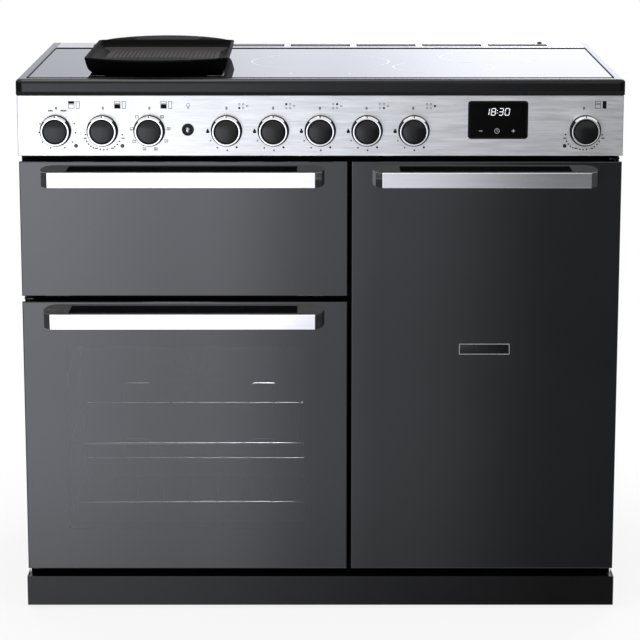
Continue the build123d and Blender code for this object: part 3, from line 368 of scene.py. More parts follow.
def put(name, mesh, body, at=(0, 0, 0)):
    """Places a mesh given in metres and lets it ride on a body."""
    piece = bpy.data.objects.new(name, mesh)
    bpy.context.scene.collection.objects.link(piece)
    piece.location = [value * MM for value in at]
    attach(piece, body)
    return piece


def box_mm(node):
    """A node's lowest and highest corners in millimetres."""
    return tuple(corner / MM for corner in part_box(node))


def front_middle(node):
    """The middle of a node's front, in millimetres."""
    low, high = box_mm(node)
    return (low.x + high.x) / 2, low.y, (low.z + high.z) / 2


def oblong(u0, v0, u1, v1):
    """Corners of a rectangle on a face."""
    return [(u0, v0), (u1, v0), (u1, v1), (u0, v1)]


def standing(x0, z0, x1, z1, y):
    """Corners of a rectangle that faces the front."""
    return [(x, y, z) for x, z in oblong(x0, z0, x1, z1)]


def lying(x0, y0, x1, y1, z):
    """Corners of a level rectangle."""
    return [(x, y, z) for x, y in oblong(x0, y0, x1, y1)]


def oval(u, v, across, up, steps):
    """Points of an oval on a face."""
    turns = [2 * math.pi * n / steps for n in range(steps)]
    return [(u + across * math.cos(turn), v + up * math.sin(turn)) for turn in turns]


def bent(corners, radius, joined=False, steps=5):
    """A path through corner points that turns gently at each of them."""
    corners = [Vector(corner) for corner in corners]
    path = []
    for n, corner in enumerate(corners):
        if not joined and n in (0, len(corners) - 1):
            path.append(corner)
            continue
        start = corner + (corners[n - 1] - corner).normalized() * radius
        end = corner + (corners[(n + 1) % len(corners)] - corner).normalized() * radius
        for step in range(steps + 1):
            t = step / steps
            path.append(start * (1 - t) ** 2 + corner * 2 * t * (1 - t) + end * t ** 2)
    return path


class Print(Form):
    """Thin ink shapes on a face, where lay makes a point of a place on the face and a height above it."""

    FOOT = -0.05
    TOP = 0.12

    def __init__(self, lay):
        super().__init__()
        self.lay = lay

    def shape(self, outline):
        """A filled outline."""
        self.skin([[self.lay(u, v, height) for u, v in outline] for height in (self.FOOT, self.TOP)])

    def band(self, outer, inner):
        """The band between two outlines with equally many points."""
        levels = ((outer, self.FOOT), (outer, self.TOP), (inner, self.TOP), (inner, self.FOOT))
        self.skin([[self.lay(u, v, height) for u, v in outline] for outline, height in levels], joined=True)

    def dot(self, u, v, radius, steps=16):
        self.shape(oval(u, v, radius, radius, steps))

    def block(self, u0, v0, u1, v1):
        self.shape(oblong(u0, v0, u1, v1))

    def frame(self, u0, v0, u1, v1, width):
        self.band(oblong(u0, v0, u1, v1), oblong(u0 + width, v0 + width, u1 - width, v1 - width))

    def ring(self, u, v, across, up, width, steps=28):
        self.band(oval(u, v, across, up, steps), oval(u, v, across - width, up - width, steps))

    def line(self, u0, v0, u1, v1, width):
        x, y = Vector((v0 - v1, u1 - u0)).normalized() * width / 2
        self.shape([(u0 + x, v0 + y), (u0 - x, v0 - y), (u1 - x, v1 - y), (u1 + x, v1 + y)])


def front_print(y):
    """An empty print on an upright face that looks to the front."""
    return Print(lambda u, v, height: (u, y - height, v))


# Knobs

KNOBS = [
    "knob_grill", "knob_main_oven_heat", "knob_main_oven_mode", "knob_hob_front_left", "knob_hob_rear_left",
    "knob_hob_centre", "knob_hob_front_right", "knob_hob_rear_right", "knob_tall_oven_heat",
]
SKIRT = [(20.6, 1.6), (22.95, 1.4), (23.2, 1.7), (24.6, 11.2), (24.5, 11.7), (24.0, 11.9), (8.0, 11.9)]
RING = [(23.0, 2.4), (23.15, 1.2), (23.12, 0.4), (22.9, 0.12), (22.65, 0.05), (20.95, 0.05), (20.7, 0.12),
        (20.52, 0.4), (20.5, 2.4)]
CAP_EDGE = [(20.35, 2.6), (20.35, 2.2), (20.1, 1.97)]
CAP_RADII = (19.5, 17.5, 15.5, 13.5, 11.5, 9.5, 7.5, 5.5, 3.5, 1.5)
CAP_MIDDLE, CAP_CURVE = 0.3, 252.0
INSERT = [(22.7, 0.4), (23.0, 0.16), (23.25, 0.18), (25.35, 1.5), (25.55, 1.95), (25.15, 9.6), (24.9, 10.0),
          (22.7, 10.2)]
INSERT_START, INSERT_STEP = 44, 4
POINTER = ((0.1, 23.15), (0.14, 23.35), (1.44, 25.45), (1.9, 25.66), (9.3, 25.28), (9.5, 25.0))
POINTER_FOOT = 22.9
TIP = (0, 0, 0)


def knob_meshes():
    """Skirt, front ring, cap, raised upper insert and pointer of a knob, whose tip is at the origin."""
    cap = CAP_EDGE + [(radius, CAP_MIDDLE + radius * radius / CAP_CURVE) for radius in CAP_RADII]
    sector = []
    for step in range(24):
        turn = math.radians(INSERT_START + INSERT_STEP * step)
        sector.append([(radius * math.cos(turn), back, radius * math.sin(turn)) for radius, back in INSERT])
    lines = []
    for back, rise in POINTER:
        edge = rise - 0.06
        outline = ((-0.9, POINTER_FOOT), (0.9, POINTER_FOOT), (0.9, edge), (0.7, rise), (-0.7, rise), (-0.9, edge))
        lines.append([(across, back, up) for across, up in outline])
    return {
        "skirt": (Form().turn(SKIRT, TIP, BACK, 72).mesh("knob_skirt", knob_black), "black_plastic"),
        "ring": (Form().turn(RING, TIP, BACK, 72, joined=True).mesh("knob_ring", chrome_trim), "chrome_trim"),
        "cap": (Form().turn(cap, TIP, BACK, 72).mesh("knob_cap", graphite_plastic), "graphite_plastic"),
        "insert": (Form().skin(sector).mesh("knob_insert", chrome_trim), "chrome_trim"),
        "pointer": (Form().skin(lines).mesh("knob_pointer", grey_ink), "black_plastic"),
    }


def knobs():
    """All nine knobs in place of their plain solids."""
    meshes = knob_meshes()
    for knob in KNOBS:
        tip = front_middle(knob)
        for label, (mesh, slot) in meshes.items():
            piece = put(knob + "." + label, mesh, knob, tip)
            if label == "skirt":
                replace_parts(piece, knob)


knobs()


# Fascia prints

FASCIA_FRONT = box_mm("fascia_panel")[0].y
ICONS = {
    "knob_grill": (-413.9, "grill"), "knob_main_oven_heat": (-338.3, "main"), "knob_main_oven_mode": (-262.4, "main"),
    "knob_tall_oven_heat": (450.6, "tall"),
}
ZERO_ROW, NEON_ROW = 859.4, 797.1
NEON_PLACES = (-402.2, -326.0, 402.0)
NEON_LENS = [(3.2, -0.4), (3.2, 0.6), (3.0, 0.85), (2.6, 0.97), (1.3, 1.04), (0.2, 1.06)]
STUD = [(3.2, -0.6), (3.2, 0.05), (3.0, 0.3), (2.4, 0.55), (1.2, 0.75), (0.2, 0.8)]
TALL_MARKS_SHIFT = 4.6
GRILL_DASHES = ((-446.9, -439.1), (-426.5, -416.5))

# Marks round a knob: how far across from its middle, and height above the floor
GRILL_DOTS = ((-25.3, 833.8), (-26.9, 819.3), (-21.6, 803.4), (-8.5, 793.9), (14.8, 793.9), (27.6, 803.4),
              (32.9, 818.7), (31.0, 833.8))
HEAT_DOTS = ((-27.8, 815.8), (-25.8, 804.7), (-23.1, 800.0), (-19.3, 796.5), (-15.3, 793.9), (-3.7, 791.4),
             (1.7, 790.7), (7.3, 791.4), (20.0, 795.8), (24.2, 799.6), (27.7, 804.4), (32.6, 815.5))
HEAT_BARS = ((-28.5, 809.8), (-10.3, 793.0), (15.9, 793.0), (33.8, 809.8))
MODE_PLACES = ((-20.1, 845.2), (21.3, 845.2), (-28.6, 825.3), (-24.8, 804.7), (-8.3, 792.0), (10.6, 792.0),
               (27.8, 805.3), (32.1, 825.3))
DROP = ((-30.9, 826.4), (-29.2, 823.0), (-27.8, 820.2), (-28.9, 818.4), (-30.9, 818.0), (-32.9, 818.4),
        (-34.0, 820.2), (-32.6, 823.0))
POWER_DOTS = ((-26.3, 805.7, 1.2), (-15.0, 793.9, 1.3), (1.0, 789.8, 1.4), (16.5, 794.6, 1.8))
ZONE_PLAN = ((21.3, 859.6), (21.3, 866.0), (27.6, 866.0), (27.6, 859.6), (34.2, 862.9))


def oven_icon(dark, pale, u, filled):
    """Plan of the three doors, with the one that a knob belongs to filled in."""
    bottom, top = 858.8, 871.1
    doors = {
        "grill": (u, 866.7, u + 10.0, top), "main": (u, bottom, u + 10.0, 866.0),
        "tall": (u + 12.6, bottom, u + 18.9, top),
    }
    for name, door in doors.items():
        if name == filled:
            dark.block(*door)
        else:
            pale.frame(*door, 0.85)


def grill_marks(dark, u):
    """Power dots of the grill knob, and a short row of dashes at each side above it."""
    for across, v in GRILL_DOTS:
        dark.dot(u + across, v, 1.25)
    for left, right in GRILL_DASHES:
        count = round((right - left) / 2.6)
        for part in range(count):
            start = left + (right - left) * part / count
            dark.block(start, 853.9, start + 2.1, 856.6)


def heat_marks(dark, u):
    """Dots of a thermostat's round, with longer marks between them."""
    for across, v in HEAT_DOTS:
        dark.dot(u + across, v, 1.3)
    for across, v in HEAT_BARS:
        for part in (-1.7, 0.0, 1.7):
            dark.block(u + across + part - 0.7, v - 1.1, u + across + part + 0.7, v + 1.1)


def mode_symbols(dark, u):
    """Small plain pictures of oven settings round the mode knob."""
    for number, (across, v) in enumerate(MODE_PLACES):
        left = u + across
        dark.frame(left - 2.8, v - 2.4, left + 2.8, v + 2.4, 0.8)
        if number % 2:
            dark.block(left - 1.6, v + 0.7, left + 1.6, v + 1.2)
        if number % 3:
            dark.block(left - 1.6, v - 1.2, left + 1.6, v - 0.7)
        if number > 3:
            dark.dot(left, v, 0.6)


def hob_marks(dark, pale, u, filled):
    """Drop mark, power dots and the plan of the five zones with one filled in."""
    dark.shape([(u + across, v) for across, v in DROP])
    for across, v, radius in POWER_DOTS:
        dark.dot(u + across, v, radius)
    for number, (across, v) in enumerate(ZONE_PLAN):
        if number == filled:
            dark.dot(u + across, v, 1.9)
        else:
            pale.ring(u + across, v, 1.75, 1.75, 0.7, 14)


def fascia_marks():
    """Ink on the fascia, dark and paler for each knob, and the small lamps."""
    for knob in KNOBS:
        u = front_middle(knob)[0]
        dark, pale = front_print(FASCIA_FRONT), front_print(FASCIA_FRONT)
        dark.ring(u - 0.6 - 0.0055 * u, ZERO_ROW, 1.7, 2.6, 1.2, 18)
        if knob in ICONS:
            oven_icon(dark, pale, *ICONS[knob])
        if knob == "knob_grill":
            grill_marks(dark, u)
        elif knob == "knob_main_oven_heat":
            heat_marks(dark, u)
        elif knob == "knob_main_oven_mode":
            mode_symbols(dark, u)
        elif knob == "knob_tall_oven_heat":
            heat_marks(dark, u - TALL_MARKS_SHIFT)
        else:
            hob_marks(dark, pale, u, KNOBS.index(knob) - KNOBS.index("knob_hob_front_left"))
        dark.make(knob + ".marks", "cabinet", dark_ink, "black_plastic")
        if pale.points:
            pale.make(knob + ".outlines", "cabinet", grey_ink, "black_plastic")
    bulb = front_print(FASCIA_FRONT)
    bulb.ring(-217.2, 864.6, 3.1, 3.2, 0.75)
    bulb.frame(-218.6, 858.6, -215.8, 861.2, 0.7)
    bulb.make("light_button.mark", "cabinet", grey_ink, "black_plastic")
    for number, u in enumerate(NEON_PLACES):
        lamp = Form().turn(NEON_LENS, (u, FASCIA_FRONT, NEON_ROW), FRONT, 28)
        lamp.make("neon_lamp_%d" % (number + 1), "cabinet", neon_lens, "black_plastic")


def button_stud():
    """Bright stud in the middle of the lamp button."""
    stud = Form().turn(STUD, front_middle("light_button"), FRONT, 32)
    stud.make("light_button.stud", "light_button", chromed_wire, "chromed_wire")


DIGIT_BARS = {
    "a": (0, 2, 1, 2), "b": (1, 2, 1, 1), "c": (1, 1, 1, 0), "d": (0, 0, 1, 0), "e": (0, 1, 0, 0), "f": (0, 2, 0, 1),
    "g": (0, 1, 1, 1),
}
DIGITS = (("bc", 270.2, 6.2), ("abcdefg", 280.2, 6.4), ("abcdg", 292.8, 6.4), ("abcdef", 302.8, 6.8))
DIGIT_FOOT, DIGIT_HEIGHT, DIGIT_SLANT = 848.0, 11.0, 0.13


def clock_digit(ink, bars, left, width):
    """A slanted digit of the lit clock, made of some of seven bars."""
    for bar in bars:
        x0, z0, x1, z1 = DIGIT_BARS[bar]
        start = Vector((left + x0 * width, DIGIT_FOOT + z0 * DIGIT_HEIGHT / 2))
        end = Vector((left + x1 * width, DIGIT_FOOT + z1 * DIGIT_HEIGHT / 2))
        gap = (end - start).normalized() * 0.5
        start, end = start + gap, end - gap
        lean_start = start.x + (start.y - DIGIT_FOOT) * DIGIT_SLANT
        lean_end = end.x + (end.y - DIGIT_FOOT) * DIGIT_SLANT
        ink.line(lean_start, start.y, lean_end, end.y, 1.15)


def clock_face():
    """Lit digits and touch keys behind the clock glass, with its printed edge."""
    low, high = box_mm("display_glass")
    lit, keys, edge = front_print(low.y), front_print(low.y), front_print(low.y)
    for bars, left, width in DIGITS:
        clock_digit(lit, bars, left, width)
    for v in (851.4, 855.8):
        lit.dot(289.6 + (v - DIGIT_FOOT) * DIGIT_SLANT, v, 0.7)
    lit.make("clock_digits", "cabinet", lit_digits, "display_glass")
    keys.block(260.6, 821.5, 266.2, 822.4)
    keys.ring(290.3, 821.9, 4.2, 4.2, 0.7)
    keys.line(290.3, 821.9, 290.3, 824.6, 0.7)
    keys.line(290.3, 821.9, 292.4, 821.2, 0.7)
    keys.block(314.4, 821.4, 319.8, 822.5)
    keys.block(316.7, 819.2, 317.6, 821.35)
    keys.block(316.7, 822.55, 317.6, 824.7)
    keys.make("clock_keys", "cabinet", pale_ink, "display_glass")
    edge.frame(low.x + 1.6, low.z + 1.6, high.x - 1.6, high.z - 1.6, 0.8)
    edge.make("clock_edge", "cabinet", graphite_plastic, "display_glass")


fascia_marks()
button_stud()
clock_face()


# Griddle

def pan_ring(low, high, reach, inset, z, lip, rise, corner=12.0):
    """One level of the griddle: a rounded rectangle drawn in by inset, its end lips bowed out by a share of reach."""
    half_x = (high.x - low.x) / 2 - inset
    half_y = (high.y - low.y) / 2 - reach - inset
    middle = (low + high) / 2
    flat = half_x - corner
    ring = []
    for end in (1, -1):
        for step in range(25):
            across = end * flat * (1 - 2 * step / 24)
            bow = math.sqrt(max(0.0, 1 - (across / flat) ** 2)) ** 1.6
            ring.append((middle.x + across, middle.y + end * (half_y + reach * lip * bow), z + rise * bow))
        for step in range(1, 8):
            turn = math.radians(90 * step / 8)
            x = flat + corner * math.sin(turn)
            y = half_y - corner + corner * math.cos(turn)
            ring.append((middle.x - end * x, middle.y + end * y, z))
        for step in range(9):
            along = (half_y - corner) * (1 - 2 * step / 8)
            ring.append((middle.x - end * half_x, middle.y + end * along, z))
        for step in range(1, 8):
            turn = math.radians(90 * step / 8)
            x = flat + corner * math.cos(turn)
            y = -(half_y - corner) - corner * math.sin(turn)
            ring.append((middle.x - end * x, middle.y + end * y, z))
    return ring


RIB = ((-1.6, -0.4), (-1.5, 0.9), (-1.1, 1.8), (-0.4, 2.3), (0.4, 2.3), (1.1, 1.8), (1.5, 0.9), (1.6, -0.4))
RIB_PITCH = 7.25


def griddle():
    """Cast griddle: walls that round into the base, bowed end lips and a floor of fine round ribs."""
    low, high = box_mm("griddle_pan")
    base = low.z
    reach, lip_rise = 60.0, 2.0
    rim = high.z - lip_rise
    depth = 17.5
    levels = [
        (13.0, base, 0, 0), (11.0, base + 0.5, 0, 0), (8.2, base + 2.6, 0, 0), (5.6, base + 5.8, 0, 0),
        (3.8, base + 9.6, 0, 0), (2.2, base + 15.0, 0, 0), (1.0, base + 20.0, 0, 0), (0.5, rim - 4.2, 0, 0),
        (0.2, rim - 3.8, 0.97, lip_rise), (0.0, rim - 2.9, 1.0, lip_rise), (0.0, rim - 0.9, 1.0, lip_rise),
        (0.6, rim - 0.15, 1.0, lip_rise), (1.2, rim, 0.985, lip_rise), (3.4, rim, 0.0, 0.4), (4.3, rim - 0.5, 0, 0),
        (5.2, rim - 3.5, 0, 0), (7.0, rim - 8.0, 0, 0), (10.5, rim - 12.2, 0, 0), (16.0, rim - 15.6, 0, 0),
        (22.5, rim - 17.2, 0, 0), (27.0, rim - depth, 0, 0),
    ]
    pan = Form().skin([pan_ring(low, high, reach, *level) for level in levels])
    wall_level, floor_level = 17, 19
    inside, flat = (len(pan.faces) // (len(levels) - 1) * level for level in (wall_level, floor_level))
    floor = rim - depth
    middle = (low + high) / 2
    half_y = (high.y - low.y) / 2 - reach - 33.0
    steps = ((-half_y - 2.5, 0.15), (-half_y, 0.8), (-half_y + 3, 1.0), (half_y - 3, 1.0), (half_y, 0.8),
             (half_y + 2.5, 0.15))
    for number in range(-12, 13):
        x = middle.x + number * RIB_PITCH
        rib = []
        for y, share in steps:
            width = 0.6 + 0.4 * share
            section = [(across * width, up * share if up > 0 else up) for across, up in RIB]
            rib.append([(x + across, middle.y + y, floor + up) for across, up in section])
        pan.skin(rib)
    made = pan.make("griddle", "griddle", cast_black, "cast_black", 40.0)
    # The floor, its ribs and the foot of the rear inner wall take the lighter cast, a painted highlight; the rest
    # stays cast black
    made.data.materials.append(cast_highlight)
    for face in made.data.polygons[inside:]:
        if face.index >= flat or face.center.y > (middle.y + half_y) * MM:
            face.material_index = 1
    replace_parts(made, "griddle_pan")


griddle()


# Oven fittings

def wire_shelf(node, body, pitch, hooks):
    """Wire shelf with a heavy outer rail, round bars from front to rear and upright loops at the rear."""
    low, high = box_mm(node)
    rail = 2.4
    z = low.z + rail
    corners = lying(low.x + rail, low.y + rail, high.x - rail, high.y - rail, z)
    shelf = Form().wire(bent(corners, 14, True), rail, 12, True)
    middle = (low.x + high.x) / 2
    bars = Form()
    count = int((high.x - low.x - 30) / 2 / pitch)
    bar_z, loop_z = z + 3.3, z + 37
    for number in range(-count, count + 1):
        x = middle + number * pitch
        bars.wire([(x, low.y + 0.6, bar_z), (x, high.y - 0.6, bar_z)], 2.0, 10)
    for x0, x1 in hooks:
        y = high.y - rail
        shelf.wire(bent([(x0, y, z), (x0, y, loop_z), (x1, y, loop_z), (x1, y, z)], 7), 1.5, 10)
    # The bars take the darkened chrome, painted shade
    bars.make(node + ".bars", body, shaded_bar_wire, "chromed_wire")
    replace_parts(shelf.make(node + ".rails", body, chromed_wire, "chromed_wire"), node)


def trivet():
    """Wire rack that stands in the grill pan."""
    low, high = box_mm("grill_pan")
    z = low.z + 17
    x0, x1, y0, y1 = low.x + 26, high.x - 26, low.y + 24, high.y - 24
    rack = Form().wire(bent(lying(x0, y0, x1, y1, z), 14, True), 2.2, 10, True)
    for number in range(1, 22):
        x = x0 + (x1 - x0) * number / 22
        rack.wire([(x, y0, z + 1.2), (x, y1, z + 1.2)], 1.3, 8)
    foot = low.z + 4
    for x in (x0 + 40, x1 - 40):
        rack.wire(bent([(x, y0 + 3, z), (x, y0 + 12, foot), (x, y1 - 12, foot), (x, y1 - 3, z)], 6), 1.8, 8)
    rack.make("grill_trivet", "grill_tray", chromed_wire, "chromed_wire")


def mouth_seal(name, x0, x1, z0, z1):
    """Rubber seal on the front frame round an oven's mouth."""
    y = box_mm("front_frame")[0].y - 1.45
    corners = standing(x0 - 8, z0 - 8, x1 + 8, z1 + 8, y)
    Form().wire(bent(corners, 20, True), 1.35, 10, True).make(name, "cabinet", black_rubber, "black_plastic")


def oven_lamp(name, x, y, z):
    """Ribbed lamp glass in a steel ring on an oven's ceiling."""
    collar = [(27.5, -0.5), (27.5, 2.2), (26.6, 3.0), (24.4, 3.0), (23.6, 2.2), (23.6, -0.5)]
    ring = Form().turn(collar, (x, y, z), DOWN, 48, joined=True)
    ring.make(name + ".collar", "cabinet", chromed_wire, "chromed_wire")
    lens = [(23.4, 0.2), (23.4, 2.6)]
    for step in range(5):
        radius = 21.5 - 4.0 * step
        lens += [(radius, 5.6 + step * 0.9), (radius - 2.0, 5.2 + step * 0.9)]
    lens.append((0.6, 10.0))
    Form().turn(lens, (x, y, z), DOWN, 48).make(name + ".lens", "cabinet", frosted_glass, "clear_glass", 50.0)


LOOPS = ((-361.0, -314.0), (-126.2, -79.0))
wire_shelf("main_shelf_upper", "shelf_main_upper", 47.0, LOOPS)
wire_shelf("main_shelf_lower", "shelf_main_lower", 47.0, LOOPS)
wire_shelf("tall_shelf_upper", "shelf_tall_upper", 42.0, ())
wire_shelf("tall_shelf_lower", "shelf_tall_lower", 42.0, ())
trivet()
mouth_seal("main_oven_seal", -440.5, -11.8, 105.0, 500.1)
mouth_seal("grill_seal", -440.5, -11.8, 575.3, 745.0)
mouth_seal("tall_oven_seal", 100.6, 448.5, 105.0, 740.0)
oven_lamp("main_oven_lamp", -90.0, 20.0, 500.0)
oven_lamp("tall_oven_lamp", 380.0, 20.0, 739.9)


# Doors

def oven_door_pane():
    """Front glass of the windowed door: dark all round, with a see-through middle."""
    low, high = box_mm("main_door_glass")

    def outline(inset, y, left=0.0, right=0.0, bottom=0.0, top=0.0):
        x0, x1 = low.x + inset + left, high.x - inset - right
        z0, z1 = low.z + inset + bottom, high.z - inset - top
        return standing(x0, z0, x1, z1, y)

    window = (73.0, 73.0, 71.5, 77.0)
    edge = 1.5
    rings = [outline(0, high.y, *window), outline(0, high.y)]
    for step in range(5):
        turn = math.radians(22.5 * step)
        rings.append(outline(edge * (1 - math.cos(turn)), low.y + edge * (1 - math.sin(turn))))
    rings.append(outline(0, low.y, *window))
    pane = Form().skin(rings).make("main_door_pane", "main_door", slate_gloss, "tinted_glass", 5.0)
    pane.data.materials.append(tinted_glass)
    pane.data.materials.append(clear_glass)
    pane.data.polygons[-1].material_index = 1
    pane.data.polygons[-2].material_index = 2
    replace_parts(pane, "main_door_glass")


def badge():
    """Blank badge plate on the tall door, with its pale border."""
    front = box_mm("tall_door_panel")[0].y
    x0, x1, z0, z1 = 231.0, 317.7, 443.7, 464.2
    rise = 0.85
    rings = []
    for inset, step in ((0.0, -0.2), (0.0, 0.5), (0.25, 0.75), (0.6, rise)):
        corners = standing(x0 + inset, z0 + inset, x1 - inset, z1 - inset, front - step)
        rings.append([tuple(point) for point in bent(corners, 2.0, True)])
    Form().skin(rings).make("badge_plate", "tall_door", black_alloy, "black_alloy")
    border = front_print(front - rise)
    border.frame(232.2, 444.9, 316.5, 463.0, 0.9)
    border.make("badge_border", "tall_door", pale_ink, "polished_steel")


def plinth_cover():
    """Folded sheet that closes the top of the plinth behind its front board."""
    low, high = box_mm("plinth")
    rings = []
    for x in (low.x + 3.2, low.x + 3.6, high.x - 3.6, high.x - 3.2):
        inset = 0.0 if abs(x) < high.x - 3.4 else 0.3
        front, rear, top = low.y + 1.6 + inset, high.y - 0.4 - inset, high.z - 0.3 - inset
        fold = ((front, top), (rear - 1.0, top), (rear - 0.3, top - 0.3), (rear, top - 1.0), (rear, top - 11.0),
                (rear - 1.0, top - 11.0), (rear - 1.0, top - 1.2), (front, top - 1.2))
        rings.append([(x, y, z) for y, z in fold])
    Form().skin(rings).make("plinth_cover", "cabinet", black_satin, "black_satin", 20.0)


oven_door_pane()
badge()
plinth_cover()


# Hob trim

ZONE_RINGS = ((0.0, -9.0, 120.0), (302.0, 57.0, 92.0), (210.0, -99.0, 87.0))
ZONE_CORNERS = ((-383.0, -230.0, 26, 40), (-161.0, -230.0, -26, 40), (-383.0, 128.0, 26, -40),
                (-161.0, 128.0, -26, -40))


def zone_marks():
    """Pale rings, ticks and corner marks of the cooking zones on the glass."""
    top = box_mm("hob_glass")[1].z
    marks = Print(lambda u, v, height: (u, v, top + height * 0.5))
    for u, v, radius in ZONE_RINGS:
        marks.ring(u, v, radius, radius, 1.9, 128)
    for u, v in ((-49.0, -198.0), (49.0, -198.0)):
        marks.line(u, v - 7, u, v + 7, 1.8)
    for u, v, across, along in ZONE_CORNERS:
        marks.line(u, v, u + across, v, 1.7)
        marks.line(u, v, u, v + along, 1.7)
    marks.make("zone_marks", "cabinet", zone_ink, "ceramic_glass")


def glass_bead():
    """Black sealing bead round the hob glass."""
    low, high = box_mm("hob_glass")
    corners = lying(low.x, low.y, high.x, high.y, high.z)
    bead = Form().wire(bent(corners, 6, True), 0.8, 8, True)
    open_run = [corners[0], corners[3], corners[2], corners[1]]
    bead.wire(bent(open_run, 6), 1.4, 10).make("hob_glass_bead", "cabinet", black_rubber, "black_plastic")


def lip_shadow_strip():
    """Dark strip along the lower edge of the hob's front lip, painted shade that stands for the shadow gap under the
    lip.
    """
    low, high = box_mm("hob_frame")
    ends = ((low.x + 4, 0.3), (low.x + 5, 0.8), (low.x + 7, 1.0), (high.x - 7, 1.0), (high.x - 5, 0.8),
            (high.x - 4, 0.3))
    rings = []
    for x, share in ends:
        section = ((low.y + 0.6, 0.2), (low.y - 0.5 * share, 0.5), (low.y - 0.75 * share, 1.6),
                   (low.y - 0.75 * share, 4.8), (low.y - 0.45 * share, 5.9), (low.y + 0.6, 6.2))
        rings.append([(x, y, low.z + up) for y, up in section])
    Form().skin(rings).make("lip_shadow_strip", "cabinet", black_rubber, "black_plastic")


# Screw outlines in shares of the head's radius: how far out, and how high above the face
SCREW_HEAD = ((1.0, 0.25), (0.88, 0.48), (0.6, 0.62))
SCREW_SOCKET = ((0.5, 0.4), (0.5, 0.66), (0.42, 0.7), (0.3, 0.64))


def screw(form, middle, axis, radius):
    """Round-headed screw with a hex socket."""
    foot = [(radius, -0.3)]
    form.turn(foot + [(radius * out, radius * up) for out, up in SCREW_HEAD], middle, axis, 24)
    form.turn([(radius * out, radius * up) for out, up in SCREW_SOCKET], middle, axis, 6)


def deck_screws():
    """Two screws that hold the rear deck."""
    top = box_mm("rear_vent_deck")[1].z
    heads = Form()
    for x in (-406, 406):
        screw(heads, (x, 300, top), UP, 4.4)
    heads.make("deck_screws", "cabinet", knob_black, "black_satin")


zone_marks()
glass_bead()
lip_shadow_strip()
deck_screws()


# Rear

def rear_louvres():
    """Pressed cooling louvres in the rear panel, each a hood that opens downwards."""
    face = box_mm("rear_panel")[1].y
    hood = ((0.0, 6.0), (1.2, 6.6), (4.5, 5.2), (9.0, 2.2))
    hoods = Form()
    for x_middle in (-260, 20):
        for row in range(7):
            z = 420 + row * 26
            rings = []
            for step in range(13):
                along = -1 + 2 * step / 12
                share = max(0.05, 1 - abs(along) ** 6)
                x = x_middle + along * 95
                profile = [(0.0, -0.3)] + [(up, out * share) for up, out in hood] + [(12.0, -0.3)]
                rings.append([(x, face + out, z + up) for up, out in profile])
            hoods.skin(rings)
    hoods.make("rear_louvres", "cabinet", galvanised_steel, "galvanised_steel", 40.0)


def rear_screws():
    """Screws round the rear panel and the terminal cover."""
    low, high = box_mm("rear_panel")
    heads = Form()
    radius, edge, corner = 3.6, 9, 14
    for number in range(8):
        x = low.x + corner + (high.x - low.x - 2 * corner) * number / 7
        for z in (low.z + edge, high.z - edge):
            screw(heads, (x, high.y, z), BACK, radius)
    for number in range(1, 5):
        z = low.z + edge + (high.z - low.z - 2 * edge) * number / 5
        for x in (low.x + edge, high.x - edge):
            screw(heads, (x, high.y, z), BACK, radius)
    cover_low, cover_high = box_mm("terminal_cover")
    for x in (cover_low.x + 7, cover_high.x - 7):
        for z in (cover_low.z + 7, cover_high.z - 7):
            screw(heads, (x, cover_high.y, z), BACK, 2.4)
    heads.make("rear_screws", "cabinet", polished_steel, "galvanised_steel")


rear_louvres()
rear_screws()


# Studio

def card(name, middle, width, height, turn, shader, gloss_only=False):
    """A flat panel of the studio, out of the camera's sight and perhaps seen only as gloss."""
    mesh = bpy.data.meshes.new(name)
    mesh.from_pydata(lying(-width / 2, -height / 2, width / 2, height / 2, 0), [], [(0, 1, 2, 3)])
    made = bpy.data.objects.new(name, mesh)
    bpy.context.scene.collection.objects.link(made)
    made.location = middle
    made.rotation_euler = turn
    made.visible_camera = False
    if gloss_only:
        made.visible_diffuse = False
        made.visible_shadow = False
    mesh.materials.append(shader)
    return made


DAYLIGHT = (0.98, 0.99, 1.035)


def graded_light(name, across, up, strength):
    """A panel's glow, graded across its width and up its height."""
    made = bpy.data.materials.new(name)
    made.use_nodes = True
    tree = made.node_tree
    tree.nodes.clear()
    place = add(tree, "ShaderNodeTexCoord")
    axes = add(tree, "ShaderNodeSeparateXYZ", {0: place.outputs["Object"]})
    grades = []
    for axis, stops in (("X", across), ("Y", up)):
        span = (stops[0][0], stops[-1][0])
        reach = {"Value": axes.outputs[axis], "From Min": span[0], "From Max": span[1]}
        part = add(tree, "ShaderNodeMapRange", reach)
        ramp = add(tree, "ShaderNodeValToRGB", {0: part.outputs[0]})
        ramp.color_ramp.interpolation = "EASE"
        while len(ramp.color_ramp.elements) < len(stops):
            ramp.color_ramp.elements.new(0.5)
        for stop, (where, level) in zip(ramp.color_ramp.elements, stops):
            stop.position = (where - span[0]) / (span[1] - span[0])
            stop.color = (*[level * tint for tint in DAYLIGHT], 1.0)
        grades.append(ramp.outputs[0])
    glow = add(tree, "ShaderNodeMix", {0: 1.0, 6: grades[0], 7: grades[1]}, data_type="RGBA", blend_type="MULTIPLY")
    light = add(tree, "ShaderNodeEmission", {"Color": glow.outputs[2], "Strength": strength})
    end = add(tree, "ShaderNodeOutputMaterial")
    tree.links.new(light.outputs[0], end.inputs["Surface"])
    return made


QUARTER_TURN = math.radians(90)

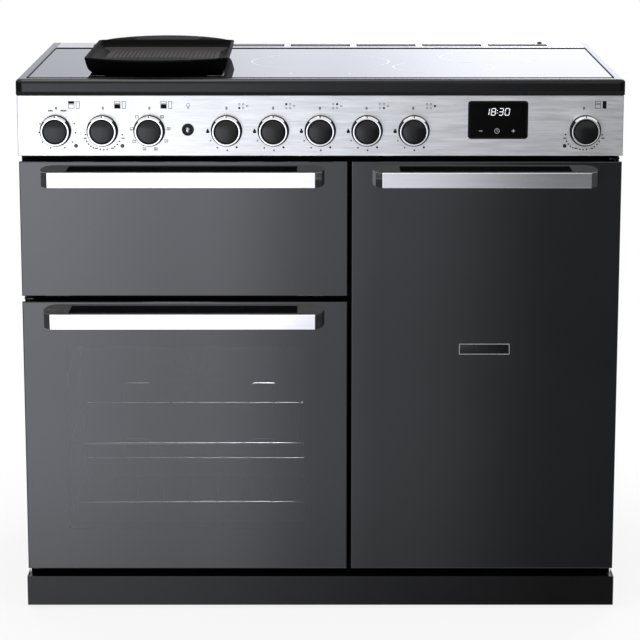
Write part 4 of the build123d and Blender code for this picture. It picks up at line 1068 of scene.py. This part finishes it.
# Grades of the panels: metres from the middle, and how bright it is there
FRONT_ACROSS = [(-1.5, 1.0), (-0.76, 0.95), (-0.31, 0.72), (0.03, 0.36), (0.16, 0.26), (0.62, 0.070), (0.9, 0.05),
                (1.5, 0.045)]
FRONT_UP = [(-1.2, 0.30), (-0.55, 0.46), (0.2, 0.80), (0.9, 1.0), (1.2, 1.0)]
REAR_ACROSS = [(-1.5, 0.36), (-0.7, 0.41), (0.0, 0.67), (0.5, 0.90), (1.5, 1.0)]
REAR_UP = [(-0.5, 1.04), (0.5, 0.86)]
FLAG_ACROSS = [(-2.2, 0.55), (-0.6, 0.30), (0.8, 0.16), (2.2, 0.30)]
FLAG_UP = [(-1.2, 0.35), (0.0, 0.6), (1.2, 1.0)]
SHELF_ACROSS = [(-0.2, 0.0), (-0.1, 0.12), (0.05, 0.55), (0.16, 1.0), (0.185, 0.4), (0.2, 0.15)]
SHELF_UP = [(-0.045, 1.0), (0.045, 1.0)]

front_glow = graded_light("front_glow", FRONT_ACROSS, FRONT_UP, 3.1)
card("front_panel", (0, -2.5, -0.4), 3.0, 2.4, (QUARTER_TURN, 0, 0), front_glow)
rear_glow = graded_light("rear_glow", REAR_ACROSS, REAR_UP, 2.0)
card("rear_panel_light", (0, 2.2, 1.3), 3.0, 1.0, (QUARTER_TURN, 0, 0), rear_glow)
flag_grey = graded_light("flag_grey", FLAG_ACROSS, FLAG_UP, 0.45)
for side in (-1, 1):
    card("side_flag", (side * 1.7, -0.3, 0.2), 4.4, 2.4, (QUARTER_TURN, 0, QUARTER_TURN), flag_grey, gloss_only=True)
shelf_glow = graded_light("shelf_glow", SHELF_ACROSS, SHELF_UP, 22.5)
card("shelf_panel", (-0.23, -0.195, 0.455), 0.4, 0.09, (QUARTER_TURN / 2, 0, 0), shelf_glow, gloss_only=True)


def soft_lamp(name, place, aim, size, watts):
    """A square soft lamp turned towards a point."""
    lamp = bpy.data.lights.new(name, "AREA")
    lamp.size = size
    lamp.energy = watts
    made = bpy.data.objects.new(name, lamp)
    bpy.context.scene.collection.objects.link(made)
    made.location = place
    made.rotation_euler = (Vector(aim) - Vector(place)).to_track_quat("-Z", "Y").to_euler()


soft_lamp("top_lamp", (-0.5, -0.6, 3.0), (0, 0, 0.6), 1.8, 40)
soft_lamp("rear_lamp", (1.2, 2.6, 2.4), (0, 0.2, 0.5), 1.6, 45)


def seen_directly(tree):
    """Is one for rays from the camera, from gloss and through glass."""
    rays = add(tree, "ShaderNodeLightPath").outputs
    seen = rays["Is Camera Ray"]
    for kind in ("Is Glossy Ray", "Is Transmission Ray"):
        seen = add(tree, "ShaderNodeMath", {0: seen, 1: rays[kind]}, operation="MAXIMUM").outputs[0]
    return seen


def white_room():
    """World that looks white and lights the cooker softly."""
    world = bpy.data.worlds.new("white_room")
    bpy.context.scene.world = world
    world.use_nodes = True
    tree = world.node_tree
    tree.nodes.clear()
    white = add(tree, "ShaderNodeBackground", {"Color": (1, 1, 1, 1), "Strength": 1.0})
    soft = add(tree, "ShaderNodeBackground", {"Color": (0.97, 0.985, 1, 1), "Strength": 0.35})
    mix = add(tree, "ShaderNodeMixShader", {0: seen_directly(tree), 1: soft.outputs[0], 2: white.outputs[0]})
    end = add(tree, "ShaderNodeOutputWorld")
    tree.links.new(mix.outputs[0], end.inputs["Surface"])


def pale_floor():
    """White floor that keeps a soft shadow under the cooker and fades into the room."""
    shader = bpy.data.materials.new("pale_floor")
    shader.use_nodes = True
    tree = shader.node_tree
    surface = tree.nodes["Principled BSDF"]
    surface.inputs["Base Color"].default_value = (0.86, 0.86, 0.86, 1.0)
    surface.inputs["Roughness"].default_value = 0.9
    place = add(tree, "ShaderNodeTexCoord")
    away = add(tree, "ShaderNodeVectorMath", {0: place.outputs["Object"]}, operation="LENGTH")
    fade = {"Value": away.outputs["Value"], "From Min": 0.55, "From Max": 0.95, "To Min": 0.86, "To Max": 1.0}
    share = add(tree, "ShaderNodeMapRange", fade)
    seen = add(tree, "ShaderNodeMath", {0: share.outputs[0], 1: seen_directly(tree)}, operation="MULTIPLY")
    white = add(tree, "ShaderNodeEmission", {"Color": (1, 1, 1, 1), "Strength": 1.0})
    mix = add(tree, "ShaderNodeMixShader", {0: seen.outputs[0], 1: surface.outputs[0], 2: white.outputs[0]})
    tree.links.new(mix.outputs[0], tree.nodes["Material Output"].inputs["Surface"])
    floor = card("floor", (0, 0, 0), 2.0, 2.0, (0, 0, 0), shader)
    floor.visible_camera = True
    floor.visible_glossy = False


white_room()
pale_floor()


# Camera

PHOTO_PIXELS = 640
camera_data = bpy.data.cameras.new("camera")
camera_data.lens = 145.74
camera_data.sensor_width = 36.0
camera_data.shift_x = -0.4 / PHOTO_PIXELS
camera = bpy.data.objects.new("camera", camera_data)
bpy.context.scene.collection.objects.link(camera)
camera.location = (0, -4.50686, 1.38986)
camera.rotation_euler = (math.radians(90 - 11.815), 0, 0)
bpy.context.scene.camera = camera
bpy.context.scene.view_settings.view_transform = "Standard"
